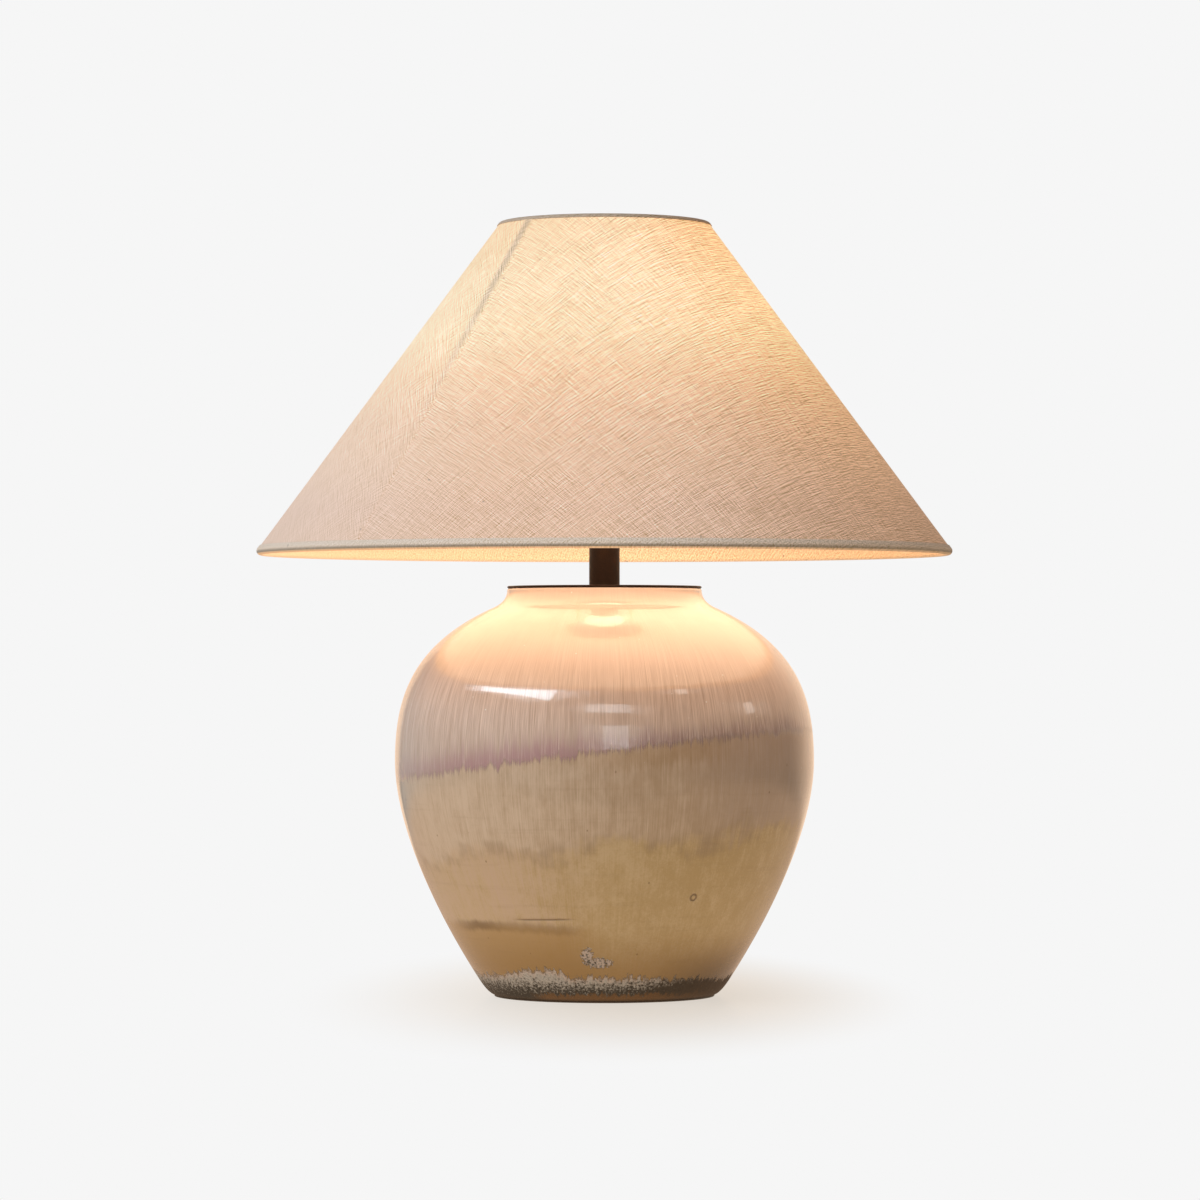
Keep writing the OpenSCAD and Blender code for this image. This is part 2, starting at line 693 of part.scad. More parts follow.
module bulb_tip() {
    color("silver") rotate_extrude()
        polygon([[0, bulb_z], [3.2, bulb_z], [4.5, bulb_z + 0.8], [4.5, thread_z], [0, thread_z]]);
}

// The glass stem, with two collars that hold the filaments' ends
filament_r = 0.9;
filament_ring_r = 8;
filament_low = globe_z - 13;
filament_high = globe_z + 11;

module bulb_stem() {
    neck = glass_neck_r - glass_t;
    collar_r = filament_ring_r + 1.5;
    color("white") rotate_extrude() polygon([[0, thread_z], [4.5, thread_z], [9, glass_z - 6],
        [neck, glass_z], [neck, glass_z + 1], [4, glass_z + 8], [2.5, filament_low - 4],
        [collar_r, filament_low - 1], [collar_r, filament_low], [2.5, filament_low],
        [2.5, filament_high], [collar_r, filament_high], [collar_r, filament_high + 1],
        [2.5, filament_high + 3], [0, filament_high + 5]]);
}

module bulb_filaments() {
    color("gold") for (i = [0:filaments - 1]) rotate([0, 0, 360 * (i + 0.5) / filaments])
        translate([filament_ring_r, 0, filament_low])
            cylinder(r = filament_r, h = filament_high - filament_low);
}

// The shade is set out on its slope: s runs down the fabric from its top edge, and d stands out from it
slope_run = (shade_bottom_d - shade_top_d) / 2;
slope_len = sqrt(slope_run * slope_run + shade_h * shade_h);
down = [slope_run, -shade_h] / slope_len;
out = [shade_h, slope_run] / slope_len;
function on_shade(s, d) = [shade_top_d / 2, shade_top_z] + s * down + d * out;
lining = fabric_t + liner_t;
wire_d_in = lining + run_fit + ring_wire_r;
edge_r = (wire_d_in + ring_wire_r + slip_fit) / 2;
top_ring = on_shade(0, -wire_d_in);
bottom_ring = on_shade(slope_len, -wire_d_in);

// A cone between two distances from the fabric's face
module shade_skin(d_out, d_in) {
    rotate_extrude($fn = 144) polygon([on_shade(0, d_out), on_shade(slope_len, d_out),
        on_shade(slope_len, d_in), on_shade(0, d_in)]);
}

// The fabric is one flat cut rolled into a cone: its end lies over its start along one slope
module shade_fabric() {
    lap_start = top_hem_w + seat_gap;
    lap_len = slope_len - bottom_hem_w - seat_gap - lap_start;
    color([0.87, 0.78, 0.7]) {
        shade_skin(0, -fabric_t);
        intersection() {
            shade_skin(fabric_t, -fabric_t / 2);
            rotate([0, 0, seam_angle - 90]) translate([shade_top_d / 2, 0, shade_top_z])
                rotate([0, atan2(shade_h, slope_run), 0]) translate([lap_start, -seam_w / 2, -seam_w / 2])
                    cube([lap_len, seam_w, seam_w]);
        }
    }
}

module shade_liner() {
    color("ivory") shade_skin(-fabric_t, -lining);
}

// A tape folded over an edge and its wire: side is 1 at the bottom edge and -1 at the top edge.
// Its under face runs over the fabric, round the edge, round the wire, and back up the liner.
module shade_hem(side, outer_w) {
    edge = side > 0 ? slope_len : 0;
    function at(p) = on_shade(edge - side * p[0], p[1]);
    wire = [0, -wire_d_in];
    wrap_r = ring_wire_r + slip_fit;
    landing = [ring_wire_d + 2.3, -lining];
    reach = landing - wire;
    leave = atan2(reach[1], reach[0]) - acos(wrap_r / norm(reach));
    under = [for (p = concat([[outer_w, 0]],
        [for (i = [0:2 * short_steps]) let (a = 90 + 90 * i / short_steps)
            [0, -edge_r] + edge_r * [cos(a), sin(a)]],
        [for (i = [1:3]) let (a = -90 + (leave + 90) * i / 3) wire + wrap_r * [cos(a), sin(a)]],
        [landing, [inner_hem_w, -lining]])) at(p)];
    over = beside(under, -side * hem_t);
    rotate_extrude($fn = 144) polygon(concat(over, [for (i = [len(under) - 1:-1:0]) under[i]]));
}

module shade_bottom_hem() { color([0.72, 0.66, 0.62]) shade_hem(1, bottom_hem_w); }

// The top hem is notched where the spider's arms meet their ring
module shade_top_hem() {
    color([0.72, 0.66, 0.62]) difference() {
        shade_hem(-1, top_hem_w);
        for (i = [0:spider_arms - 1]) rotate([0, 0, 90 + 360 * i / spider_arms])
            translate([top_ring[0], 0, top_ring[1]]) rotate([0, 90 - arm_climb, 0])
                translate([0, 0, -10]) cylinder(r = arm_r + slip_fit, h = 10);
    }
}

module wire_ring(centre) {
    rotate_extrude($fn = 144) translate(centre) circle(r = ring_wire_r, $fn = 24);
}

module shade_bottom_ring() { color("white") wire_ring(bottom_ring); }

// The top ring, three arms bent up to it, and the washer that rests on the stud
module shade_spider() {
    arm_z = washer_seat_z + spider_washer_t / 2 + 0.4;
    rise = top_ring[1] - arm_z;
    climb_len = (rise - arm_bend * (1 - cos(arm_climb))) / sin(arm_climb);
    bend_x = top_ring[0] - climb_len * cos(arm_climb) - arm_bend * sin(arm_climb);
    arm_start = spider_washer_d / 2 - 4;
    color("white") difference() {
        union() {
            wire_ring(top_ring);
            translate([0, 0, washer_seat_z]) cylinder(r = spider_washer_d / 2, h = spider_washer_t);
            for (i = [0:spider_arms - 1]) rotate([0, 0, 90 + 360 * i / spider_arms]) {
                translate([arm_start, 0, arm_z]) rotate([0, 90, 0])
                    straight(arm_r, bend_x - arm_start, 0, 1);
                translate([bend_x, 0, arm_z + arm_bend]) bend(arm_bend, arm_r, -90, arm_climb - 90);
                translate([top_ring[0], 0, top_ring[1]]) rotate([0, 90 - arm_climb, 0])
                    translate([0, 0, -climb_len]) straight(arm_r, climb_len, 1, 0);
            }
        }
        translate([0, 0, washer_seat_z - 1]) cylinder(r = stud_d / 2 + seat_gap, h = spider_washer_t + 2);
    }
}

vase();
foot_felt();
cord_bushing();
rubber_washer();
steel_washer();
lower_nut();
threaded_pipe();
vase_cap();
neck_tube();
harp_saddle();
saddle_nut();
harp_bow();
harp_sleeve_left();
harp_sleeve_right();
harp_stud();
finial();
socket_cap();
socket_shell();
socket_paper();
switch_block();
terminal_screws();
socket_screw_shell();
socket_contact();
switch_knob();
bulb_glass();
bulb_base();
bulb_insulator();
bulb_tip();
bulb_stem();
bulb_filaments();
shade_fabric();
shade_liner();
shade_top_hem();
shade_bottom_hem();
shade_spider();
shade_bottom_ring();
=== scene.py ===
import json
from math import acos, atan2, cos, degrees, hypot, pi, radians, sin, tan
from types import SimpleNamespace
import bmesh
import bpy
from mathutils import Matrix, Vector


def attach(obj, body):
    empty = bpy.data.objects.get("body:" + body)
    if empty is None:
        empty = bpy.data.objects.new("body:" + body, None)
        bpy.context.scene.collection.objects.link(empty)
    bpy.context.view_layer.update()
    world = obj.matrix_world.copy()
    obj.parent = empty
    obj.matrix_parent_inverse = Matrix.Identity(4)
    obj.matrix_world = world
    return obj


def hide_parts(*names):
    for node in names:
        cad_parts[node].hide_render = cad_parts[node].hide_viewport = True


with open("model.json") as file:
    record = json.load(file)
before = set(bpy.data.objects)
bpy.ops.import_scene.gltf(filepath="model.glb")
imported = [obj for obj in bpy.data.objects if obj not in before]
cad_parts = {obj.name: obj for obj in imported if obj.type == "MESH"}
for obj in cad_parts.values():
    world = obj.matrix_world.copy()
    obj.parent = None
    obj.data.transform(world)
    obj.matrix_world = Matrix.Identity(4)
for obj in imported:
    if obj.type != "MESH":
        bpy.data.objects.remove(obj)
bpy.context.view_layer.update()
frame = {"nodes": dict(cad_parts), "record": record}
print("frame loaded")

mm = 0.001
perMetre = 1000.0
# metres between points that count as one
doubles = 1e-6


# Nodes and their maths

class Value:
    # a number that varies from place to place; sums and products of these add Math nodes
    def __init__(self, nodes, socket):
        self.nodes = nodes
        self.socket = socket

    def __neg__(self): return self * -1.0
    def __pow__(self, other): return self.nodes.math("POWER", self, other)
    def sin(self): return self.nodes.math("SINE", self)
    def cos(self): return self.nodes.math("COSINE", self)
    def atLeast(self, other): return self.nodes.math("MAXIMUM", self, other)
    def atMost(self, other): return self.nodes.math("MINIMUM", self, other)
    def __add__(self, other): return self.nodes.math("ADD", self, other)
    def __sub__(self, other): return self.nodes.math("SUBTRACT", self, other)
    def __rsub__(self, other): return self.nodes.math("SUBTRACT", other, self)
    def __mul__(self, other): return self.nodes.math("MULTIPLY", self, other)
    def __truediv__(self, other): return self.nodes.math("DIVIDE", self, other)
    def __rtruediv__(self, other): return self.nodes.math("DIVIDE", other, self)
    __radd__, __rmul__ = __add__, __mul__

    def smooth(self, low, high):
        # 0 below low, 1 above high and a soft step between; low may be the larger one
        return self.nodes.value("ShaderNodeMapRange", {"interpolation_type": "SMOOTHSTEP"},
                                {"Value": self, "From Min": low, "From Max": high})

    def inside(self, low, high, soft):
        # 1 between low and high, with soft edges
        return self.smooth(low - soft, low + soft) * self.smooth(high + soft, high - soft)


class Nodes:
    # a tree of nodes, and the calls that add to it
    def __init__(self, tree):
        self.tree = tree

    def feed(self, socket, value):
        if isinstance(value, Value):
            self.tree.links.new(value.socket, socket)
        elif isinstance(value, bpy.types.NodeSocket):
            self.tree.links.new(value, socket)
        else:
            socket.default_value = value

    def node(self, kind, settings=None, inputs=None):
        made = self.tree.nodes.new(kind)
        for key, value in (settings or {}).items():
            if key == "stops":
                ramp = made.color_ramp
                while len(ramp.elements) < len(value):
                    ramp.elements.new(0.5)
                for element, (place, colour) in zip(ramp.elements, value):
                    element.position = place
                    element.color = colour
            else:
                setattr(made, key, value)
        for key, value in (inputs or {}).items():
            self.feed(made.inputs[key], value)
        return made

    def value(self, kind, settings=None, inputs=None, output=0):
        return Value(self, self.node(kind, settings, inputs).outputs[output])

    def math(self, operation, *terms):
        return self.value("ShaderNodeMath", {"operation": operation}, dict(enumerate(terms)))

    def split(self, vector):
        return [Value(self, part) for part in self.node("ShaderNodeSeparateXYZ", None, {0: vector}).outputs]

    def join(self, x, y, z):
        return self.node("ShaderNodeCombineXYZ", None, {0: x, 1: y, 2: z}).outputs[0]


class Finish(Nodes):
    # one material, or the world, and the calls that add its nodes
    def __init__(self, name, kind="material"):
        self.material = (bpy.data.worlds if kind == "world" else bpy.data.materials).new(name)
        self.material.use_nodes = True
        super().__init__(self.material.node_tree)
        self.tree.nodes.clear()
        self.output = self.tree.nodes.new("ShaderNodeOutput" + kind.title())

    def place(self, source="Object"):
        return self.node("ShaderNodeTexCoord").outputs[source]

    def noise(self, vector, scale, detail=2.0, rough=0.5):
        return self.value("ShaderNodeTexNoise", None, {"Vector": vector, "Scale": scale, "Detail": detail,
                                                       "Roughness": rough})

    def swing(self, vector, scale, detail=2.0, rough=0.5):
        # noise that swings round 0
        return self.noise(vector, scale, detail, rough) - 0.5

    def cells(self, vector, scale):
        return self.value("ShaderNodeTexVoronoi", None, {"Vector": vector, "Scale": scale})

    def ray(self, kind):
        return self.value("ShaderNodeLightPath", output="Is " + kind + " Ray")

    def ramp(self, value, stops):
        return self.node("ShaderNodeValToRGB", {"stops": stops}, {0: value}).outputs[0]

    def blend(self, amount, first, second, mode="MIX"):
        return self.node("ShaderNodeMix", {"data_type": "RGBA", "blend_type": mode},
                         {0: amount, 6: first, 7: second}).outputs[2]

    def tint(self, amount, colour, stain):
        # the colour times the stain where the amount is 1
        return self.blend(amount, colour, stain, "MULTIPLY")

    def bump(self, height, depth, strength=1.0, **under):
        inputs = {"Height": height, "Distance": depth, "Strength": strength}
        return self.node("ShaderNodeBump", None, dict(inputs, **under)).outputs[0]

    def surface(self, **inputs):
        # baseColor feeds the socket Base Color, and so on
        def label(key):
            words = "".join(" " + letter if letter.isupper() else letter for letter in key)
            return {"ior": "IOR", "shine": "Specular IOR Level"}.get(key, words[0].upper() + words[1:])
        made = self.node("ShaderNodeBsdfPrincipled", None, {label(key): value for key, value in inputs.items()})
        self.tree.links.new(made.outputs[0], self.output.inputs[0])
        return self.material


class Round:
    # a place on a round piece: its height in millimetres and its angle, 0 in front and more to the right
    def __init__(self, paint):
        self.paint = paint
        self.place = paint.place()
        self.x, self.y, self.z = paint.split(self.place)
        self.height = self.z * perMetre
        self.angle = paint.math("ARCTAN2", self.x, -self.y)
        self.sine = self.angle.sin()


def ink(red, green, blue):
    # a colour as a screen shows it, from 0 to 255, made linear
    def linear(level):
        level /= 255
        return level / 12.92 if level <= 0.04045 else ((level + 0.055) / 1.055) ** 2.4
    return (linear(red), linear(green), linear(blue), 1.0)


def grey(level):
    return (level, level, level, 1.0)


# Meshes

def newObject(name, data, material=None):
    piece = bpy.data.objects.new(name, data)
    bpy.context.scene.collection.objects.link(piece)
    if material:
        data.materials.append(material)
    return piece


def newMesh(name, points, edges=(), faces=()):
    mesh = bpy.data.meshes.new(name)
    mesh.from_pydata(points, edges, faces)
    return mesh


def frozen(piece, name):
    # a mesh of the piece as its modifiers leave it
    mesh = bpy.data.meshes.new_from_object(piece.evaluated_get(bpy.context.evaluated_depsgraph_get()))
    mesh.name = name
    return mesh


def closeMesh(mesh, merge=None):
    # doubles go first, so that the walls are closed when the faces turn outwards
    work = bmesh.new()
    work.from_mesh(mesh)
    if merge:
        bmesh.ops.remove_doubles(work, verts=work.verts, dist=merge)
    bmesh.ops.recalc_face_normals(work, faces=work.faces)
    work.to_mesh(mesh)
    work.free()
    for face in mesh.polygons:
        face.use_smooth = True


def bezier(points, t):
    # a point on the curve from the first point to the last, pulled by the others
    while len(points) > 1:
        points = [[(1 - t) * p + t * q for p, q in zip(a, b)] for a, b in zip(points, points[1:])]
    return points[0]


def along(point, length, angle):
    # the point at a distance from another; the angle is 0 upwards and 90 outwards
    return [point[0] + length * sin(radians(angle)), point[1] + length * cos(radians(angle))]


def arc(centre, radius, start, end, steps, first=0):
    # points on a circle from one angle to the other; here 0 is outwards and 90 is upwards
    return [along(centre, radius, 90 - start - (end - start) * i / steps) for i in range(first, steps + 1)]


def offset(line, distance):
    # a line of [radius, height] points moved to its right-hand side
    moved = []
    for i, point in enumerate(line):
        before, after = line[max(i - 1, 0)], line[min(i + 1, len(line) - 1)]
        step = [after[0] - before[0], after[1] - before[1]]
        length = hypot(*step)
        moved.append([point[0] + distance * step[1] / length, point[1] - distance * step[0] / length])
    return moved


# Geometry Nodes

class Tree(Nodes):
    # a Geometry Nodes tree, with named inputs
    def __init__(self, name, inputs):
        super().__init__(bpy.data.node_groups.new(name, "GeometryNodeTree"))
        face = self.tree.interface
        face.new_socket("Geometry", in_out="INPUT", socket_type="NodeSocketGeometry")
        for label, (kind, value) in inputs.items():
            made = face.new_socket(label, in_out="INPUT", socket_type="NodeSocket" + kind)
            if value is not None:
                made.default_value = value
        face.new_socket("Geometry", in_out="OUTPUT", socket_type="NodeSocketGeometry")
        self.start = self.tree.nodes.new("NodeGroupInput")
        self.end = self.tree.nodes.new("NodeGroupOutput")

    def given(self, *labels):
        return [Value(self, self.start.outputs[label]) for label in labels]

    def close(self, geometry):
        realized = self.node("GeometryNodeRealizeInstances", None, {0: geometry})
        painted = self.node("GeometryNodeSetMaterial", None,
                            {0: realized.outputs[0], "Material": self.start.outputs["Material"]})
        self.tree.links.new(painted.outputs[0], self.end.inputs[0])


def applyTree(name, mesh, tree, values):
    # runs a tree on a mesh and returns a plain mesh
    helper = newObject(name + " start", mesh)
    modifier = helper.modifiers.new("nodes", "NODES")
    modifier.node_group = tree.tree
    for item in tree.tree.interface.items_tree:
        if item.in_out == "INPUT" and item.name in values:
            modifier[item.identifier] = values[item.name]
    result = frozen(helper, name)
    helper.modifiers.remove(modifier)
    bpy.data.objects.remove(helper)
    return result


def makeTurnedTree():
    # turns a line of points in the X-Z plane round the Z axis
    tree = Tree("turned piece", {"Segments": ("Int", 96), "Levels": ("Int", 2), "Unevenness": ("Float", 0.0),
                                 "Seed": ("Float", 0.0), "Material": ("Material", None)})
    segments, levels, unevenness, seed = tree.given("Segments", "Levels", "Unevenness", "Seed")
    grid = tree.node("GeometryNodeMeshGrid", None, {"Vertices X": segments + 1, "Vertices Y": levels})
    index = tree.value("GeometryNodeInputIndex")
    row = tree.math("MODULO", index, levels)
    angle = tree.math("FLOOR", index / levels) / segments * (2 * pi)
    sine, cosine = angle.sin(), angle.cos()
    sample = tree.node("GeometryNodeSampleIndex", {"data_type": "FLOAT_VECTOR", "domain": "POINT"},
                       {"Geometry": tree.start.outputs["Geometry"], "Index": row,
                        "Value": tree.node("GeometryNodeInputPosition").outputs[0]})
    reach, _, height = tree.split(sample.outputs[0])
    wave = tree.value("ShaderNodeTexNoise", {"noise_dimensions": "4D"}, {
        "Vector": tree.join(sine, cosine, height * 9.0), "W": seed, "Scale": 1.3, "Detail": 2.0})
    # the unevenness fades out at the axis
    radius = reach + (wave - 0.5) * unevenness * (reach * 20.0).atMost(1.0)
    moved = tree.node("GeometryNodeSetPosition", None, {
        "Geometry": grid.outputs["Mesh"], "Position": tree.join(radius * sine, -(radius * cosine), height)})
    mapped = tree.node("GeometryNodeStoreNamedAttribute", {"data_type": "FLOAT2", "domain": "CORNER"},
                       {"Geometry": moved.outputs[0], "Name": "UVMap", "Value": grid.outputs["UV Map"]})
    tree.close(mapped.outputs[0])
    return tree


def makeThreadTree():
    # a round-crested helical thread along Z
    tree = Tree("thread", {"Radius": ("Float", 0.005), "Height": ("Float", 0.01), "Pitch": ("Float", 0.001),
                           "Ridge": ("Float", 0.0003), "Base": ("Float", 0.0), "Material": ("Material", None)})
    radius, height, pitch, ridge, base = tree.given("Radius", "Height", "Pitch", "Ridge", "Base")
    spiral = tree.node("GeometryNodeCurveSpiral", None, {
        "Resolution": 40, "Rotations": height / pitch, "Start Radius": radius, "End Radius": radius,
        "Height": height})
    raised = tree.node("GeometryNodeSetPosition", None,
                       {"Geometry": spiral.outputs[0], "Offset": tree.join(0.0, 0.0, base)})
    section = tree.node("GeometryNodeCurvePrimitiveCircle", {"mode": "RADIUS"}, {"Resolution": 6, "Radius": ridge})
    swept = tree.node("GeometryNodeCurveToMesh", None,
                      {"Curve": raised.outputs[0], "Fill Caps": True, "Profile Curve": section.outputs[0]})
    tree.close(swept.outputs[0])
    return tree


turnedTree, threadTree = makeTurnedTree(), makeThreadTree()


def turned(name, profile, material, segments=192, unevenness=0.0, seed=0.0):
    # profile is a list of [radius, height] in millimetres; a closed one repeats its first point
    line = newMesh(name + " line", [(r * mm, 0, z * mm) for r, z in profile],
                   [(i, i + 1) for i in range(len(profile) - 1)])
    mesh = applyTree(name, line, turnedTree, {"Segments": segments, "Levels": len(profile), "Seed": seed,
                                              "Unevenness": unevenness * mm, "Material": material})
    closeMesh(mesh, doubles)
    return newObject(name, mesh)


print("trees ready")


# Vase

vaseShape = {
    "footRadius": 80, "footHeight": 1.5, "roundHeight": 10.5, "roundWidth": 10, "footWidth": 8, "footSlope": 71,
    "taper": 33, "bellyRadius": 150.75, "bellyHeight": 169, "lipRadius": 70, "lipHeight": 293, "neckHeight": 14,
    "neckFlare": 10, "neckTuck": 0.2, "shoulderSlope": 66, "wall": 6, "lipWall": 11, "lipRound": 1.6,
    "recessHeight": 18.5, "floorHeight": 26.5, "pipeHole": 5.9, "lowPull": 0.28, "lowBelly": 0.335,
    "highBelly": 0.38, "highPull": 0.95, "cordHeight": 10.5, "cordHole": 4.7, "cordBehind": 85,
}


def vaseProfile(values, steps=72):
    shape = SimpleNamespace(**values)
    foot = [shape.footRadius, shape.footHeight]
    start = [foot[0] + shape.roundWidth, foot[1] + shape.roundHeight]
    belly = [shape.bellyRadius, shape.bellyHeight]
    neck = [shape.lipRadius + shape.neckFlare, shape.lipHeight - shape.neckHeight]
    lip = [shape.lipRadius, shape.lipHeight - shape.lipRound]
    # the foot's rounding is pulled to where its own slope meets the taper of the body
    taper, slope, shoulder = shape.taper, shape.footSlope, shape.shoulderSlope
    tangent = tan(radians(taper))
    sideways, upwards = along([0, 0], 1, slope)
    footPull = along(foot, (shape.roundWidth - shape.roundHeight * tangent) / (sideways - upwards * tangent), slope)
    low, high, wide = belly[1] - start[1], neck[1] - belly[1], belly[0] - neck[0]
    lower = [start, along(start, shape.lowPull * low, taper), [belly[0], belly[1] - shape.lowBelly * low], belly]
    upper = [belly, [belly[0], belly[1] + shape.highBelly * high],
             along(neck, shape.highPull * wide, 180 - shoulder), neck]
    neckPull = [shape.lipRadius + shape.neckTuck,
                neck[1] + (shape.neckFlare - shape.neckTuck) / tan(radians(shoulder))]
    outside = [bezier([foot, footPull, start], i / 12) for i in range(12)]
    body = [bezier(lower, i / steps) for i in range(steps)] + [bezier(upper, i / steps) for i in range(steps + 1)]
    throat = [bezier([neck, neckPull, lip], i / 12) for i in range(1, 13)]
    rim = arc([lip[0] - shape.lipRound, lip[1]], shape.lipRound, 0, 90, 8, 1)
    inside = [p for p in offset(body, -shape.wall) if p[1] > shape.floorHeight + 2]
    mouth, recess = shape.lipRadius - shape.lipWall, shape.footRadius - shape.footWidth
    brim = [[mouth + 1, shape.lipHeight], [mouth, shape.lipHeight - 1], [mouth, inside[-1][1]]]
    return ([[recess, foot[1]]] + outside + body + throat + rim + brim + inside[::-1]
            + [[inside[0][0] - 2.5, shape.floorHeight], [shape.pipeHole, shape.floorHeight],
               [shape.pipeHole, shape.recessHeight], [recess - 2, shape.recessHeight],
               [recess, shape.recessHeight - 2], [recess, foot[1]]])


glazeLook = {
    "upper": ink(190, 165, 149), "upperPale": ink(230, 209, 196), "shoulder": ink(226, 208, 200),
    "fringe": ink(176, 134, 140), "fringeRight": ink(147, 120, 116),
    "middle": ink(180, 151, 122), "middlePale": ink(216, 190, 166), "mauve": ink(177, 154, 142),
    "cloudy": ink(150, 124, 98),
    "lower": ink(186, 155, 107), "lowerPale": ink(204, 175, 135), "blush": ink(204, 172, 148),
    "amber": ink(176, 136, 78), "ochre": ink(152, 114, 60), "groove": ink(112, 82, 44), "speck": grey(0.85),
    "crust": ink(184, 172, 162), "crustDark": ink(60, 50, 34), "crustEdge": ink(208, 180, 164),
    # the last brown is both the glaze's own dark and a colour for painted shade
    "strip": ink(128, 86, 36), "soot": ink(72, 50, 17),
    # heights in millimetres; lean and front are how much an edge rises on the right and in front
    "dripMiddle": 172, "dripLean": 18, "dripFront": 6, "secondMiddle": 112, "secondLean": 14,
    "grooveHeight": 61.5, "bandHeight": 54.5, "crustTop": 18,
    # a spot's angle and height, and how much a degree and a millimetre count
    "bubble": (29.6, 76, 2.15, 1.0), "tallIsland": (-6.8, 33.5, 0.5, 0.17), "wideIsland": (-2.4, 29.5, 0.21, 0.3),
    # a noise's fineness round and down the vase, its detail and its roughness
    "fine": (200.0, 26.0, 3.0, 0.6), "hair": (390.0, 42.0, 2.0, 0.6), "coarse": (34.0, 12.0, 3.0, 0.55),
    "turning": (1.6, 260.0, 3.0, 0.6), "blotch": (9.0, 55.0, 2.0, 0.5), "jag": (26.0, 90.0, 5.0, 0.7),
    "crumb": (66.0, 480.0, 4.0, 0.75),
    "polish": 0.045, "coat": 0.8, "coatRough": 0.03, "ior": 1.58,
    "waveDepth": 0.0007, "streakDepth": 0.00045, "crustDepth": 0.0012,
}


class GlazeMap(Round):
    # places on the vase, and the noises that its layers of glaze share; all of them swing round 0
    def __init__(self, paint, look):
        super().__init__(paint)
        self.degrees = self.angle * (180 / pi)
        self.cosine = self.angle.cos()
        # bearing is the same angle in front and falls back to 0 behind, so its colours meet there
        self.bearing = self.degrees * self.cosine.smooth(-1.0, -0.45)
        waves = look.fine, look.hair, look.coarse, look.turning, look.blotch, look.jag, look.crumb
        self.fine, self.hair, self.coarse, self.turning, self.blotch, self.jag, self.crumb = [
            self.wrapped(*wave) for wave in waves]
        self.streak = self.fine * 1.3 + self.hair * 1.3 + self.coarse * 0.5
        self.cloud = paint.swing(self.place, 15.0, 4.0, 0.55)
        self.mottle = paint.swing(paint.join(self.x * 110.0, self.y * 110.0, self.z * 60.0), 1.0, 4.0, 0.65)
        self.speckle = paint.swing(self.place, 620.0, 3.0, 0.7)

    def wrapped(self, wide, tall, detail, rough):
        vector = self.paint.join(self.sine * wide, self.cosine * wide, self.z * tall)
        return self.paint.swing(vector, 1.0, detail, rough)

    def apart(self, degrees, height, perDegree, perMillimetre):
        # how far a point is from a spot on the vase
        return (((self.degrees - degrees) * perDegree) ** 2.0
                + ((self.height - height) * perMillimetre) ** 2.0) ** 0.5


def upperGlaze(at, look):
    # pale, with a purple fringe along its ragged lower edge; gives its colour and the height above that edge
    paint = at.paint
    above = at.height - (look.dripMiddle + at.sine * look.dripLean + at.cosine * look.dripFront
                         + at.coarse * 15.0 + at.fine * 13.0 + at.hair * 9.0)
    leftward = at.bearing.smooth(34.0, -22.0)
    colour = paint.blend((at.streak * 1.15 + 0.47).smooth(0.0, 1.0), look.upper, look.upperPale)
    colour = paint.blend(at.height.smooth(214.0, 258.0) * 0.8, colour, look.shoulder)
    reach = 13.0 + leftward * 4.0 + at.coarse * 14.0 + at.fine * 22.0
    fringe = (above / reach).smooth(1.3, 0.15) * (0.66 + leftward * 0.3 - at.streak * 1.8).smooth(0.0, 1.0)
    strength = 0.5 + at.degrees.inside(-48.0, 2.0, 16.0) * 0.3 + at.bearing.smooth(3.0, 14.0) * 0.4
    edgeInk = paint.blend(leftward, look.fringeRight, look.fringe)
    return paint.blend(fringe * strength, colour, edgeInk), above


def bodyGlaze(at, look, above):
    # the middle and the lower glaze, with a blotchy edge between them that is greyish along it
    paint = at.paint
    overSecond = at.height - (look.secondMiddle + at.sine * look.secondLean + at.cloud * 62.0
                              + at.coarse * 14.0 + at.mottle * 16.0)
    # the sine term makes it paler towards the left: painted light from that side
    pale = (at.mottle * 1.1 + at.streak * 0.85 + 0.5 - at.sine * 0.45).smooth(-0.1, 1.15)
    middle = paint.blend(pale, look.middle, look.middlePale)
    patch = at.bearing.smooth(12.0, 46.0) * (at.height + at.cloud * 50.0).smooth(112.0, 140.0)
    middle = paint.blend(patch * (0.45 + at.streak * 0.5), middle, look.mauve)
    underDrips = at.degrees.inside(3.0, 32.0, 8.0) * above.inside(-13.0, -1.0, 4.0)
    middle = paint.blend(underDrips * 0.28, middle, look.ochre)
    # here too the sine term paints light on the left
    pale = at.mottle * 1.1 + at.streak * 0.45 + at.speckle * 0.9 + at.cloud * 0.9 + 0.5 - at.sine * 0.25
    lower = paint.blend(pale.smooth(0.15, 0.9), look.lower, look.lowerPale)
    flush = 0.42 + at.streak * 0.9 + at.mottle * 0.8 + at.cloud * 1.2
    lower = paint.blend(at.bearing.smooth(4.0, -24.0) * flush, lower, look.blush)
    body = paint.blend(overSecond.smooth(6.0, -7.0), middle, lower)
    dusk = overSecond.inside(-7.0, 4.0, 5.0) * (at.blotch * 2.4 + 0.45).smooth(0.25, 0.8)
    return paint.blend(dusk * (0.4 - at.streak * 0.5), body, look.cloudy)


